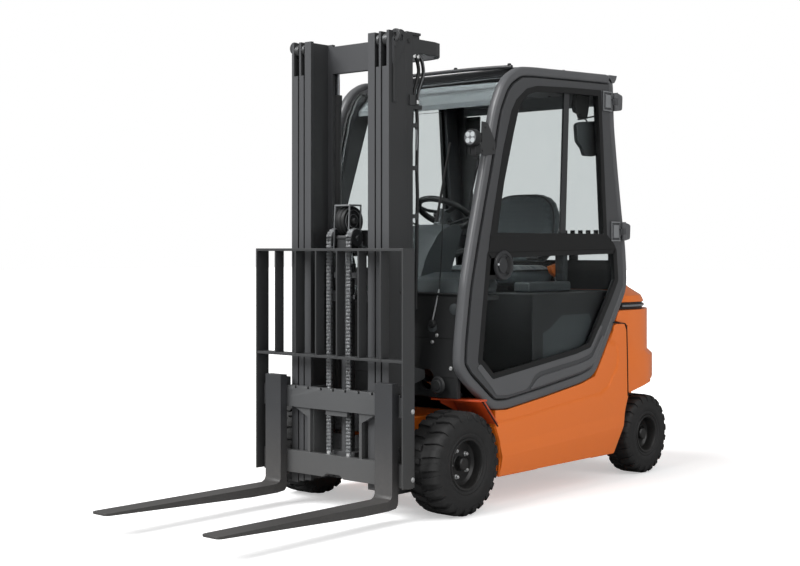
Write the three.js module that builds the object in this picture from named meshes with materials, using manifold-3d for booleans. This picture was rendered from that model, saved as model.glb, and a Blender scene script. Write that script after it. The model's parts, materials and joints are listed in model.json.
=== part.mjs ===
import * as THREE from 'three';
import { mergeVertices } from 'three/addons/utils/BufferGeometryUtils.js';
import Module from 'manifold-3d';

const wasm = await Module();
wasm.setup();

// Frame: millimetres, X to the truck's left, -Y to the front, Z up.
// Lengths along Y are counted from the front axle, heights from the floor.

// fits
const seam = 0.3; // between pieces bolted or resting together
const running = 0.3; // pin in its bore, on the radius
const free = 6; // between pieces that move past each other

// overall
const wheelbase = 1541;
const rearOverhang = 321;
const counterweightRear = wheelbase + rearOverhang;
const mastTop = 2110;
const forkLength = 967;
const forkLift = 61; // underside of the blades at rest

// wheels
const frontTyre = { od: 457, width: 180, rim: 112, barrel: 96, disc: 20, hub: 30 };
const rearTyre = { od: 409, width: 150, rim: 94, barrel: 78, disc: 15, hub: 28 };
const steer = { kingpinX: 305, pin: 12, post: 26, armReach: 80 };
const tyreGap = 27; // between the mast's bracket and the front tyre
const kingpinGap = 33; // between the kingpin and the rear tyre

// mast rails: channels nested one inside the other, open towards the centre
const rail = { front: -270, rear: -112, flange: 18, foot: 100 };
const outerRail = { out: 298, web: 14, width: 39 };
const middleRail = { out: 251, web: 12, width: 29 };
const innerRail = { out: 215, web: 12, width: 40 };
const rollerR = (rail.rear - rail.front) / 2 - rail.flange - free;
const railMid = (rail.front + rail.rear) / 2;
const mastPivot = { y: -84, z: 250, pin: 18, bracket: 12 };
const tilt = { x: 279, eye: 7, eyeY: -45, eyeZ: 610, baseY: 440, baseZ: 385, pin: 12, barrel: 30, rod: 14 };
const liftCylinder = { x: 215, y: -62, barrel: 24, rod: 16, top: mastTop - 230 };
const liftRodTop = mastTop - 120;
const hoses = { x: 280, r: 8, frontY: -86, rearY: -62, frontBulge: 66, rearBulge: 86 };
const freeCylinder = { y: -210, barrel: 30, rod: 20, foot: 262, top: 1100 };
const crosshead = { sheaveX: 60, sheaveY: -232, sheaveZ: 1215, sheaveR: 33, hosePulleyR: 66 };
const chain = { width: 26, thick: 6.7 };
frontTyre.face = outerRail.out + free + mastPivot.bracket + tyreGap + frontTyre.width;
rearTyre.face = steer.kingpinX + kingpinGap + rearTyre.width;

// carriage, backrest and forks
const bar = { front: -308, thick: 30, half: 442, lowZ: 151, lowTop: 251, highZ: 449, highTop: 545 };
const guard = { half: 450.5, plate: 8, front: -353, depth: 75, foot: 156, top: 1168, mid: 690 };
const fork = { inner: 288, width: 100, thick: 40, shankTop: 594, tip: 10, behind: 3 };
const forkFace = bar.front - fork.behind - fork.thick;

// cab side, seen from the left: outline of the fixed side frame
const cabOutline = [
  [1192, 2036], [515, 2010], [403, 2001], [321, 1957], [274, 1912], [213, 1803], [153, 1577],
  [58, 1238], [-2, 1005], [-39, 754], [-45, 648], [9, 585], [195, 445], [297, 439], [583, 471],
  [902, 512], [1023, 541], [1105, 649], [1232, 834], [1325, 967], [1318, 1088], [1307, 1192],
  [1281, 1316], [1238, 1561], [1204, 1782],
];
const cab = { inner: 458, outer: 503, rim: 46, doorGap: free, doorIn: 468, doorOut: 507, glass: 5 };
const upperWindow = [[470, 1902], [1055, 1935], [1108, 1236], [226, 1222]];
const lowerWindow = [
  [155, 1150], [88, 667], [190, 582], [852, 658], [977, 682], [1150, 906], [1222, 1008], [1204, 1168],
];
const latch = { y: 280, z: 1089, r: 60 };
const hinges = [{ y: 1175, z: 1898 }, { y: 1249, z: 1253 }];
const hinge = { x: 524, pin: 7, knuckle: 13, half: 45 };

// body
const body = { half: 503, skin: 33, floor: 143, seamY: 1326.5 };
const battery = { half: 415, front: 600, rear: 1170, floor: 165, top: 760 };
const deck = { front: 560, rear: 1298, under: 925, top: 955 };
const floorZ = 485;
const cowl = [[0, 508], [0, 600], [13, 750], [33, 955]];
const screen = [[38, 955.3], [98, 1238], [193, 1577], [252, 1800], [300, 1890], [350, 1938], [427, 1965]];
const steeringWheel = { y: 470, z: 1340, lean: 30, ring: 145, grip: 13, hub: 34, spoke: 13 };
const headlamp = { x: 494, y: 46, z: 1655, glassR: 30, bowlR: 36, stalk: 8, front: 92 };

const finishes = {
  orange: [0xc65d1e, 0, 0.45], darkSteel: [0x2b2c2e, 0.1, 0.5], frameGrey: [0x47484a, 0.1, 0.45],
  mast: [0x3a3b3d, 0.1, 0.5], black: [0x17181a, 0, 0.6], rubber: [0x1c1c1e, 0, 0.85],
  chrome: [0xb9bcc0, 1, 0.15], steel: [0x8d9094, 0.9, 0.35], glass: [0xa9b4b6, 0, 0.1],
  seat: [0x2a2e30, 0, 0.9], lamp: [0xd8dde0, 0.3, 0.2], trim: [0x9a9da0, 0.6, 0.35],
  batteryCase: [0x4a4d50, 0, 0.7],
};

// ---- shape helpers ---------------------------------------------------------------------
const bases = {
  x: [[0, 1, 0], [0, 0, 1], [1, 0, 0]],
  y: [[1, 0, 0], [0, 0, 1], [0, 1, 0]],
  z: [[1, 0, 0], [0, 1, 0], [0, 0, 1]],
};

function basisOf(axis) {
  return new THREE.Matrix4().makeBasis(...bases[axis].map((v) => new THREE.Vector3(...v)));
}

function signedVolume(p, t) {
  let sum = 0;
  for (let i = 0; i < t.length; i += 3) {
    const [a, b, c] = [t[i] * 3, t[i + 1] * 3, t[i + 2] * 3];
    sum += p[a] * (p[b + 1] * p[c + 2] - p[b + 2] * p[c + 1])
      + p[a + 1] * (p[b + 2] * p[c] - p[b] * p[c + 2])
      + p[a + 2] * (p[b] * p[c + 1] - p[b + 1] * p[c]);
  }
  return sum;
}

// A closed surface as a solid that faces out.
function solid(geometry) {
  const bare = geometry.clone();
  for (const name of Object.keys(bare.attributes)) if (name !== 'position') bare.deleteAttribute(name);
  const merged = mergeVertices(bare, 1e-3);
  const p = Float32Array.from(merged.attributes.position.array);
  const all = merged.index.array;
  const t = [];
  for (let i = 0; i < all.length; i += 3) {
    const [a, b, c] = [all[i], all[i + 1], all[i + 2]];
    if (a !== b && b !== c && c !== a) t.push(a, b, c);
  }
  if (signedVolume(p, t) < 0) t.reverse();
  return new wasm.Manifold(new wasm.Mesh({ numProp: 3, vertProperties: p, triVerts: Uint32Array.from(t) }));
}

function surface(shape) {
  const m = shape.getMesh();
  const g = new THREE.BufferGeometry();
  g.setAttribute('position', new THREE.BufferAttribute(Float32Array.from(m.vertProperties), 3));
  g.setIndex(new THREE.BufferAttribute(Uint32Array.from(m.triVerts), 1));
  return g;
}

const moved = (shape, matrix) => solid(surface(shape).applyMatrix4(matrix));
const mirrored = (shape) => moved(shape, new THREE.Matrix4().makeScale(-1, 1, 1));
const join = (...shapes) => shapes.flat().reduce((a, b) => a.add(b));
const cut = (shape, ...tools) => tools.flat().reduce((a, b) => a.subtract(b), shape);
const both = (shape) => join(shape, mirrored(shape));

function turnedAboutX(shape, degrees, y, z) {
  const move = new THREE.Matrix4().makeTranslation(0, y, z);
  const back = new THREE.Matrix4().makeTranslation(0, -y, -z);
  const turn = new THREE.Matrix4().makeRotationX(degrees * Math.PI / 180);
  return moved(shape, move.multiply(turn).multiply(back));
}

function box(x0, x1, y0, y1, z0, z1) {
  const g = new THREE.BoxGeometry(x1 - x0, y1 - y0, z1 - z0);
  return solid(g.translate((x0 + x1) / 2, (y0 + y1) / 2, (z0 + z1) / 2));
}

// An outline drawn square to an axis: [y, z] for x, [x, z] for y, [x, y] for z.
function prism(axis, outline, from, to, holes = []) {
  const path = (points) => points.map(([a, b]) => new THREE.Vector2(a, b));
  const shape = new THREE.Shape(path(outline));
  shape.holes = holes.map((hole) => new THREE.Path(path(hole)));
  const g = new THREE.ExtrudeGeometry(shape, { depth: to - from, bevelEnabled: false });
  return solid(g.translate(0, 0, from).applyMatrix4(basisOf(axis)));
}

function circle(r, a, b, sides = 24, start = 0) {
  return Array.from({ length: sides }, (_, i) => {
    const turn = start + (2 * Math.PI * i) / sides;
    return [a + r * Math.cos(turn), b + r * Math.sin(turn)];
  });
}

const rod = (axis, r, from, to, [a, b], sides = 16) => prism(axis, circle(r, a, b, sides), from, to);

// A profile of [radius, distance] turned about a line along an axis.
function turned(axis, profile, [a, b], sides = 32) {
  const g = new THREE.LatheGeometry(profile.map(([r, c]) => new THREE.Vector2(Math.max(r, 0), c)), sides);
  const upright = new THREE.Matrix4().makeBasis(
    new THREE.Vector3(1, 0, 0), new THREE.Vector3(0, 0, 1), new THREE.Vector3(0, 1, 0));
  g.applyMatrix4(upright).translate(a, b, 0);
  return solid(g.applyMatrix4(basisOf(axis)));
}

// Matching outlines at several levels along an axis, joined into one skin.
function loft(axis, outlines, levels) {
  const n = outlines[0].length;
  const p = outlines.flatMap((o, i) => o.flatMap(([a, b]) => [a, b, levels[i]]));
  const t = [];
  for (let i = 0; i + 1 < outlines.length; i++) {
    for (let j = 0; j < n; j++) {
      const [a, b] = [i * n + j, i * n + (j + 1) % n];
      t.push(a, b, b + n, a, b + n, a + n);
    }
  }
  const cap = (o) => THREE.ShapeUtils.triangulateShape(o.map(([a, b]) => new THREE.Vector2(a, b)), []);
  const last = (outlines.length - 1) * n;
  for (const [a, b, c] of cap(outlines[0])) t.push(c, b, a);
  for (const [a, b, c] of cap(outlines.at(-1))) t.push(last + a, last + b, last + c);
  const g = new THREE.BufferGeometry();
  g.setAttribute('position', new THREE.BufferAttribute(Float32Array.from(p), 3));
  g.setIndex(t);
  return solid(g.applyMatrix4(basisOf(axis)));
}

function areaOf(outline) {
  return outline.reduce((sum, [a, b], i) => {
    const [c, d] = outline[(i + 1) % outline.length];
    return sum + (a * d - c * b) / 2;
  }, 0);
}

// The outline moved inwards by a distance, or outwards when it is negative.
function inset(outline, distance) {
  const d = distance * Math.sign(areaOf(outline));
  const n = outline.length;
  const edge = (i) => {
    const [[a, b], [c, e]] = [outline[(i + n) % n], outline[(i + 1) % n]];
    const l = Math.hypot(c - a, e - b);
    return { a: a - d * (e - b) / l, b: b + d * (c - a) / l, u: (c - a) / l, v: (e - b) / l };
  };
  return outline.map((_, i) => {
    const [p, q] = [edge(i - 1), edge(i)];
    const cross = p.u * q.v - p.v * q.u;
    if (Math.abs(cross) < 1e-6) return [q.a, q.b];
    const s = ((q.a - p.a) * q.v - (q.b - p.b) * q.u) / cross;
    return [p.a + s * p.u, p.b + s * p.v];
  });
}

// The outline with its corners rounded.
function soften(outline, radius, steps = 3) {
  const n = outline.length;
  return outline.flatMap((corner, i) => {
    const towards = (other) => {
      const [u, v] = [other[0] - corner[0], other[1] - corner[1]];
      const l = Math.hypot(u, v);
      const k = Math.min(radius, 0.45 * l) / l;
      return [corner[0] + k * u, corner[1] + k * v];
    };
    const [from, to] = [towards(outline[(i + n - 1) % n]), towards(outline[(i + 1) % n])];
    return Array.from({ length: steps + 1 }, (_, k) => {
      const s = k / steps;
      return [0, 1].map((q) => (1 - s) ** 2 * from[q] + 2 * s * (1 - s) * corner[q] + s * s * to[q]);
    });
  });
}

// A round hose on a smooth line through its points.
function hose(points, r) {
  const path = new THREE.CatmullRomCurve3(points.map((p) => new THREE.Vector3(...p)));
  const section = new THREE.Shape(circle(r, 0, 0, 8).map(([x, y]) => new THREE.Vector2(x, y)));
  return solid(new THREE.ExtrudeGeometry(section, { steps: 20, extrudePath: path, bevelEnabled: false }));
}

// A strip of even thickness that follows a line of points; the thickness is on the line's right.
function strip(line, thickness) {
  const normal = (a, b) => {
    const l = Math.hypot(b[0] - a[0], b[1] - a[1]);
    return [(b[1] - a[1]) / l, -(b[0] - a[0]) / l];
  };
  const offset = line.map((point, i) => {
    const before = i ? normal(line[i - 1], point) : normal(point, line[i + 1]);
    const after = i + 1 < line.length ? normal(point, line[i + 1]) : before;
    const sum = [before[0] + after[0], before[1] + after[1]];
    const k = thickness * 2 / (sum[0] ** 2 + sum[1] ** 2);
    return [point[0] + k * sum[0], point[1] + k * sum[1]];
  });
  return [...line, ...offset.reverse()];
}

// ---- running gear ----------------------------------------------------------------------
function wheel(tyre) {
  const [R, w] = [tyre.od / 2, tyre.width / 2];
  const { rim, barrel, disc, hub } = tyre;
  const profile = [
    [0, disc - 10], [barrel, disc - 10], [barrel, 6 - w], [rim + 6, -w], [R - 26, -w],
    [R, 26 - w], [R, w - 26], [R - 26, w], [rim + 6, w], [rim, w - 6],
    [barrel, w - 12], [barrel, disc], [hub, disc], [hub, disc + 30], [0, disc + 35],
  ];
  return moved(turned('x', profile, [0, R], 32), new THREE.Matrix4().makeTranslation(tyre.face - w, 0, 0));
}

const discInside = (tyre) => tyre.face - tyre.width / 2 + tyre.disc - 10;

function driveAxle() {
  const z = frontTyre.od / 2;
  const centre = [0, z];
  const inside = frontTyre.face - frontTyre.width;
  const drumR = frontTyre.barrel - 2 * free;
  const bracket = prism('x', [
    ...circle(28, mastPivot.y, mastPivot.z, 16, Math.PI / 2).slice(0, 9), [0, z - 40], [0, z + 45],
  ], outerRail.out + free, outerRail.out + free + mastPivot.bracket);
  const side = join(
    rod('x', 40, 300, discInside(frontTyre) - seam, centre),
    rod('x', drumR, inside - 8, discInside(frontTyre) - 16, centre, 24),
    bracket,
    rod('x', mastPivot.pin, outerRail.out - 30, outerRail.out + free + 2, [mastPivot.y, mastPivot.z]),
    box(142, 178, -36, 36, z + 30, 300 - seam));
  return join(rod('x', 52, -315, 315, centre), rod('x', 80, -110, 110, centre, 24), both(side));
}

function steerAxle() {
  const z = rearTyre.od / 2;
  const [y0, y1] = [wheelbase - 27, wheelbase + 27];
  const web = steer.kingpinX - steer.armReach - 2 * free;
  const plate = (z0, z1) => prism('z', [
    [web - 22, y0], [steer.kingpinX, y0],
    ...circle(27, steer.kingpinX, wheelbase, 24, -Math.PI / 2).slice(1, 12),
    [steer.kingpinX, y1], [web - 22, y1],
  ], z0, z1);
  const side = join(
    plate(z + 58, z + 76), plate(z - 76, z - 58), box(web - 22, web, y0, y1, z - 76, z + 76),
    rod('z', steer.pin, z - 76, z + 76, [steer.kingpinX, wheelbase]));
  return join(
    box(-web, web, y0, y1, z - 35, z + 35),
    box(-70, 70, wheelbase - 41, wheelbase + 41, z - 35, 440 - seam),
    both(side));
}

function knuckle() {
  const z = rearTyre.od / 2;
  const centre = [wheelbase, z];
  const post = rod('z', steer.post, z - 58 + seam, z + 58 - seam, [steer.kingpinX, wheelbase]);
  const drum = rod('x', rearTyre.barrel - 18, steer.kingpinX + 40, discInside(rearTyre) - 8, centre, 20);
  const stub = rod('x', 22, steer.kingpinX, discInside(rearTyre) - seam, centre);
  const arm = prism('z', [
    [steer.kingpinX - 12, wheelbase - 20], [steer.kingpinX + 14, wheelbase - 20],
    [steer.kingpinX - 4, wheelbase - steer.armReach + 4],
    [steer.kingpinX - 22, wheelbase - steer.armReach + 4],
  ], z - 52, z - 38);
  return cut(join(post, drum, stub, arm),
    rod('z', steer.pin + running, 0, 400, [steer.kingpinX, wheelbase]));
}

// ---- body ------------------------------------------------------------------------------
const cabHollow = (margin) => prism('x', inset(cabOutline, -margin), -600, 600);

function chassis() {
  const arch = frontTyre.od / 2 + 22;
  const z = frontTyre.od / 2;
  const outline = [
    ...[-20, 0, 18, 33].map((t) => {
      const a = t * Math.PI / 180;
      return [arch * Math.cos(a), z + arch * Math.sin(a)];
    }),
    [216, 400], [216, 470], [1020, 560], [1216, 797], [body.seamY - 2.5, 772], [body.seamY, 447], [1328, 422],
    [1269, 282], [1186, body.floor], [985, body.floor], [960, body.floor + 12], [550, body.floor + 12],
    [530, body.floor], [arch + 2, body.floor],
  ];
  const skin = cut(prism('x', outline, body.half - body.skin, body.half), cabHollow(seam));
  const lower = loft('x', [
    [[200, 0], [1400, 0], [1400, 285], [200, 240]],
    [[200, 0], [1400, 0], [1400, 120], [200, 120]],
  ], [body.half - 12, body.half + 1]);
  const wall = (y, z1) => box(-480, 480, y, y + 15, body.floor + 12, z1);
  const ear = (x) => prism('x', [
    [278, 300], [278, 412], [420, 412], [tilt.baseY + 22, 400], [tilt.baseY + 22, 372], [400, 350],
  ], x, x + 12);
  const side = join(
    cut(skin, lower),
    box(140, 180, -20, 268, 300, 400),
    ear(tilt.x - tilt.barrel - free - 12), ear(tilt.x + tilt.barrel + free),
    rod('x', tilt.pin, tilt.x - tilt.barrel - free, tilt.x + tilt.barrel + free, [tilt.baseY, tilt.baseZ]));
  return join(
    both(side), wall(264, 418), wall(1192, 700),
    box(-480, 480, 264, 1205, body.floor + 12, battery.floor - seam));
}

const aft = (y) => wheelbase + y; // from the rear axle

function counterweight() {
  const lower = [
    [503, body.seamY + 0.5], [503, aft(-61)], [497, aft(-1)], [485, aft(41)], [460, aft(91)], [420, aft(154)],
    [370, aft(224)], [300, aft(279)], [200, counterweightRear - 12], [90, counterweightRear - 2],
  ];
  const upper = [
    [500, body.seamY + 0.5], [497, aft(-101)], [486, aft(-31)], [466, aft(24)],
    [430, aft(89)], [390, aft(154)],
    [345, aft(204)], [280, aft(254)], [190, counterweightRear - 37], [90, counterweightRear - 26],
  ];
  const whole = (half, rear) => [
    ...half, [0, rear], ...[...half].reverse().map(([x, y]) => [-x, y]), [-464, half[0][1]],
    [-464, 1207 + seam], [464, 1207 + seam], [464, half[0][1]],
  ];
  const low = whole(lower, counterweightRear);
  const top = whole(upper, counterweightRear - 24);
  const block = loft('z', [low, low, top, top], [436, 616, 640, 854]);
  const shoulder = cut(
    prism('x', [[1219, 804], [body.seamY + 4, 777], [body.seamY + 4, 854], [1240, 854]], 440, 500),
    cabHollow(seam));
  const under = prism('x', [
    [1100, 380], [1100, 438], [1353, 438], [aft(25), 478], [aft(25), 492], [aft(359), 540], [aft(359), 380],
  ], 100, 520);
  const skirt = prism('z', [
    [-200, counterweightRear - 36], [200, counterweightRear - 36], [200, counterweightRear - 14],
    [90, counterweightRear - 4], [-90, counterweightRear - 4], [-200, counterweightRear - 14],
  ], 262, 600);
  const shape = cut(join(block, both(shoulder)), both(under), box(-600, 600, 1100, aft(159), 300, 440));
  return cut(join(shape, skirt), cabHollow(seam));
}

function planOfCap(margin) {
  const half = [
    [452 - margin, body.seamY + 5.5 + margin / 3], [470 - margin, aft(-141)], [466 - margin, aft(-31)],
    [446 - margin, aft(24) - margin / 3], [410 - margin, aft(89) - margin / 2],
    [375 - margin, aft(144) - margin * 0.6], [330 - margin, aft(194) - margin * 0.8],
    [265 - margin, aft(239) - margin], [180 - margin * 0.7, aft(267) - margin],
  ];
  return [...half, ...[...half].reverse().map(([x, y]) => [-x, y])];
}

const trimStrip = () => prism('z', planOfCap(8), 854 + seam, 892);
const cap = () => loft('z', [planOfCap(0), planOfCap(14), planOfCap(90)], [892 + seam, 925, 978]);

function seatDeck() {
  const half = cab.inner - seam;
  const shell = prism('x', [
    [deck.front, floorZ + 8 + seam], [deck.front + 22, floorZ + 8 + seam], [deck.front + 22, deck.under],
    [deck.rear, deck.under], [deck.rear, deck.top], [deck.front, deck.top],
  ], -half, half);
  const side = prism('x', [
    [570, 510], [1000, 560], [1095, 680], [1180, 800], [1180, 940], [570, 940],
  ], half - 20, half);
  return join(shell, both(side));
}

function floorPlate() {
  const half = cab.inner - seam;
  return prism('x', [
    [deck.front - seam, floorZ], [346, floorZ], [46, 661], [46, 672], [348, floorZ + 8],
    [deck.front - seam, floorZ + 8],
  ], -half, half);
}

function frontCowl() {
  const half = cab.inner - seam;
  const wall = prism('x', [
    ...cowl, [300, 955], [300, 935], ...[...cowl].reverse().slice(0, 1).map(([y]) => [y + 20, 935]),
    [34, 760], [24, 692], [24, 508],
  ], -half, half);
  const hole = rod('y', 46, -20, 60, [tilt.x, 584]);
  return cut(wall, both(hole));
}

function fender() {
  const top = prism('z', [[300, 8], [530, 68], [530, 120], [300, 120]], 494, 502);
  const fall = prism('x', strip([[100, 494], [140, 450], [200, 384]], -8), 345, 526);
  const tab = box(350, 430, 40, 46, 500, 540);
  const stay = prism('x', [
    [40, 480], [40, 496], [110, 496], [264 - seam, 415], [264 - seam, 380], [100, 455],
  ], 326, 336);
  return cut(join(top, fall, tab, stay), cabHollow(seam));
}

// ---- cab -------------------------------------------------------------------------------
const cabSide = () => prism('x', cabOutline, cab.inner, cab.outer, [inset(cabOutline, cab.rim)]);

function roof() {
  const half = cab.inner - seam;
  return prism('x', [
    [432, 2004], [515, 2012], [1192, 2038], [1192, 2000], [520, 1976], [438, 1970],
  ], -half, half);
}

const windscreen = () => prism('x', strip(screen, -cab.glass), 0.3 - cab.inner, cab.inner - 0.3);

function rearWindow() {
  const half = cab.inner - seam;
  const line = [
    [1168, 1998], [1180, 1782], [1213, 1561], [1257, 1316], [1284, 1130], [1288, deck.top + seam],
  ];
  return prism('x', strip(line, -cab.glass), -half, half);
}

function doorFrame() {
  const outline = inset(cabOutline, cab.rim + cab.doorGap);
  const leaf = prism('x', outline, cab.doorIn, cab.doorOut, [upperWindow, lowerWindow]);
  const divider = box(cab.doorOut - 10, cab.doorOut, 748, 776, 1215, 1930);
  const rest = join(
    rod('x', latch.r, cab.doorIn + 24, cab.doorOut + 3, [latch.y, latch.z], 24),
    box(cab.doorIn + 24, cab.doorOut - 2, 120, latch.y, latch.z - 40, latch.z + 40));
  const leaves = hinges.map((h) => join(
    box(cab.doorOut - 2, hinge.x - 11, h.y - 80, h.y - 19, h.z - hinge.half, h.z + hinge.half),
    leafKnuckle(h, -hinge.half / 3, hinge.half / 3)));
  return join(leaf, divider, rest, leaves);
}

const hingeLean = Math.atan2(hinges[1].y - hinges[0].y, hinges[0].z - hinges[1].z) * 180 / Math.PI;

// One barrel of a door hinge, on the line through both hinge pins.
function leafKnuckle(h, from, to) {
  const tube = rod('z', hinge.knuckle, h.z + from, h.z + to, [hinge.x, h.y], 16);
  const web = box(cab.doorOut - 2, hinge.x, h.y - 20, h.y, h.z + from, h.z + to);
  const leaned = turnedAboutX(join(tube, web), hingeLean, h.y, h.z);
  const bore = turnedAboutX(
    rod('z', hinge.pin + running, h.z - 90, h.z + 90, [hinge.x, h.y], 16), hingeLean, h.y, h.z);
  return cut(leaned, bore);
}

function hingeBracket(h) {
  const reach = hinge.half;
  const knuckles = [[-reach, -reach / 3 - seam], [reach / 3 + seam, reach]].map(([a, b]) => {
    const tube = rod('z', hinge.knuckle, h.z + a, h.z + b, [hinge.x, h.y], 16);
    const web = box(cab.outer - 4, hinge.x, h.y + 2, h.y + 30, h.z + a, h.z + b);
    return join(tube, web);
  });
  const pin = rod('z', hinge.pin, h.z - reach, h.z + reach, [hinge.x, h.y], 16);
  const leaned = turnedAboutX(join(knuckles, pin), hingeLean, h.y, h.z);
  const base = box(cab.outer - 4, cab.outer + 8, h.y + 14, h.y + 44, h.z - reach, h.z + reach);
  return join(leaned, base);
}

const doorPane = (outline) => prism('x', inset(outline, seam), cab.doorIn + 16, cab.doorIn + 16 + cab.glass);

function headlight() {
  const { x, y, z, glassR, bowlR, stalk, front } = headlamp;
  const bowl = turned('y', [
    [0, y], [glassR, y], [bowlR, y + 6], [bowlR, y + 24], [26, y + 48], [0, y + 52],
  ], [x, z], 20);
  const stem = box(x - stalk, x + stalk, front - 26, front - 10, z - 55, z - 10);
  const arm = prism('x', [
    [front - 26, z - 62], [front - 26, z - 46], [front + 48, z - 20], [200, z + 40], [200, z - 62],
  ], x - stalk, x + stalk);
  return cut(join(bowl, stem, arm), cabHollow(seam));
}

// ---- controls and seat -----------------------------------------------------------------
function onColumn(shape) {
  return moved(shape, new THREE.Matrix4().makeTranslation(0, steeringWheel.y, steeringWheel.z)
    .multiply(new THREE.Matrix4().makeRotationX(-steeringWheel.lean * Math.PI / 180)));
}

function steeringColumn() {
  const pod = prism('x', soften([
    [120, deck.top + seam], [330, deck.top + seam], [400, 1120], [462, 1262],
    [415, 1288], [290, 1250], [190, 1130],
  ], 30, 2), -120, 120);
  const neck = onColumn(rod('z', steeringWheel.hub - 4, -130, -36 - seam, [0, 0]));
  return cut(join(pod, neck), box(-300, 300, 0, 600, 700, deck.top + seam));
}

function steeringRing() {
  const { ring, grip } = steeringWheel;
  const rim = turned('z', circle(grip, ring, 0, 8).concat([[ring + grip, 0]]), [0, 0], 32);
  const hub = rod('z', steeringWheel.hub, -36, 8, [0, 0]);
  const spokes = [0, 1, 2].map((i) => {
    const turn = new THREE.Matrix4().makeRotationZ((i * 2 * Math.PI) / 3 + Math.PI / 2);
    return moved(box(0, ring, -13, 13, -9, 1), turn);
  });
  return onColumn(join(rim, hub, spokes));
}

function seatCushion() {
  const pan = box(-190, 190, 730, 1080, deck.top + seam, 985);
  const pad = loft('z', [210, 240, 244, 232, 200].map((half, i) => soften([
    [-half, 700 - i], [half, 700 - i], [half, 1105], [-half, 1105],
  ], 60, 4)), [975, 1000, 1045, 1072, 1085]);
  return join(pan, pad);
}

function seatBackrest() {
  const line = [[1084, 1085 + seam], [1096, 1110], [1120, 1250], [1140, 1380], [1150, 1440], [1156, 1462]];
  const half = [150, 205, 228, 215, 175, 120];
  const thick = [50, 84, 90, 78, 56, 28];
  return loft('z', line.map(([y], i) => soften([
    [-half[i], y - thick[i] / 2], [half[i], y - thick[i] / 2], [half[i], y + thick[i] / 2],
    [-half[i], y + thick[i] / 2],
  ], 40, 3)), line.map(([, z]) => z));
}

// ---- mast ------------------------------------------------------------------------------
function channel({ out, web, width }, from, to) {
  const inn = out - width;
  return prism('z', [
    [out, rail.front], [out, rail.rear], [inn, rail.rear], [inn, rail.rear - rail.flange],
    [out - web, rail.rear - rail.flange], [out - web, rail.front + rail.flange],
    [inn, rail.front + rail.flange], [inn, rail.front],
  ], from, to);
}

// The front flange stops short of the top, where the rail's own roller shows.
const flangeCut = ({ out, web, width }) =>
  box(out - width - 1, out - web, rail.front - 1, rail.front + rail.flange, mastTop - 155, mastTop + 1);

const roller = (from, to, z, r = rollerR) => rod('x', r, from, to, [railMid, z], 20);

function outerMast() {
  const { out, web, width } = outerRail;
  const post = cut(channel(outerRail, rail.foot, mastTop), flangeCut(outerRail));
  const lug = prism('x', soften([
    [-250, -147], [-232, -147], [-160, -40], [-172, 2], [-200, 11], [-228, 2], [-250, -30],
  ].map(([y, z]) => [y, mastTop + z]), 12, 2), out - 2, out + 8, [circle(16, -200, mastTop - 26, 16)]);
  const ear = cut(prism('x', [
    [rail.rear - 6, 205], [mastPivot.y, 222],
    ...circle(28, mastPivot.y, mastPivot.z, 16, -Math.PI / 2).slice(1, 8),
    [mastPivot.y, 278], [rail.rear - 6, 320],
  ], out - 28, out - 10), rod('x', mastPivot.pin + running, 0, 400, [mastPivot.y, mastPivot.z]));
  const eyeEar = (x0, x1) => prism('x', soften([
    [rail.rear - 4, 570], [tilt.eyeY + 14, 592], [tilt.eyeY + 14, 628], [rail.rear - 4, 650],
  ], 10, 2), x0, x1);
  const eye = join(
    eyeEar(out - width, tilt.x - tilt.eye - free), eyeEar(tilt.x + tilt.eye + free, out + 2),
    rod('x', tilt.pin, out - width, out + 2, [tilt.eyeY, tilt.eyeZ]),
    box(out - width, out, rail.rear - 4, rail.rear + 6, 570, 650));
  const c = liftCylinder;
  const cylinder = cut(
    join(rod('z', c.barrel, 310, c.top, [c.x, c.y]), rod('z', c.barrel + 3, c.top - 50, c.top, [c.x, c.y])),
    rod('z', c.rod + 0.4, 340, c.top + 10, [c.x, c.y]));
  const foot = join(
    box(c.x - 30, out, rail.rear + free, c.y + c.barrel, 296, 318),
    box(out - width, out, rail.rear - 4, rail.rear + 10, 296, 318));
  const clamp = join(
    box(c.x + 19, out, c.y - 20, c.y + 12, c.top - 100, c.top - 80),
    box(out - width, out, rail.rear - 4, c.y, c.top - 100, c.top - 80));
  const side = join(
    post, lug, ear, eye, cylinder, foot, clamp,
    roller(out - width - 3, out - web, mastTop - 62, 48),
    box(out - width, out, rail.rear - 4, rail.rear + 10, 110, 200),
    box(out - 30, out, -153, -58, mastTop - 4, mastTop + 7),
    box(out - 28, out - 8, -120, -58, mastTop - 90, mastTop + 7));
  const bowOut = [
    [out - 8, -118], [out - 8, 50], [out - 22, 100], [out - 62, 138], [out - 120, 150],
  ];
  const bowIn = bowOut.map(([x, y], i) => [x - [20, 20, 18, 12, 4][i], y - [0, 4, 12, 18, 20][i]]);
  const bow = prism('z', [
    ...bowOut, ...[...bowOut].reverse().map(([x, y]) => [-x, y]),
    ...bowIn.map(([x, y]) => [-x, y]), ...[...bowIn].reverse(),
  ], mastTop - 80, mastTop - 18);
  return join(both(side), bow, box(-out, out, rail.rear + free, rail.rear + 20, 110, 200));
}

// One hose of the pair that loops from the cylinder clamp up to the bow.
function mastHose(y, bulge) {
  const low = liftCylinder.top - 80 + 2 * seam;
  const high = mastTop - 80 - 2 * seam;
  const rise = high - low;
  const route = [
    [y, low], [y, low + 8], [y + bulge * 0.16, low + rise * 0.25], [y + bulge * 0.74, low + rise * 0.54],
    [y + bulge, low + rise * 0.74], [y + bulge * 0.84, low + rise * 0.9], [y + bulge * 0.78, high - 8],
    [y + bulge * 0.78, high],
  ];
  return hose(route.map(([at0, z]) => [hoses.x, at0, z]), hoses.r);
}

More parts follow.
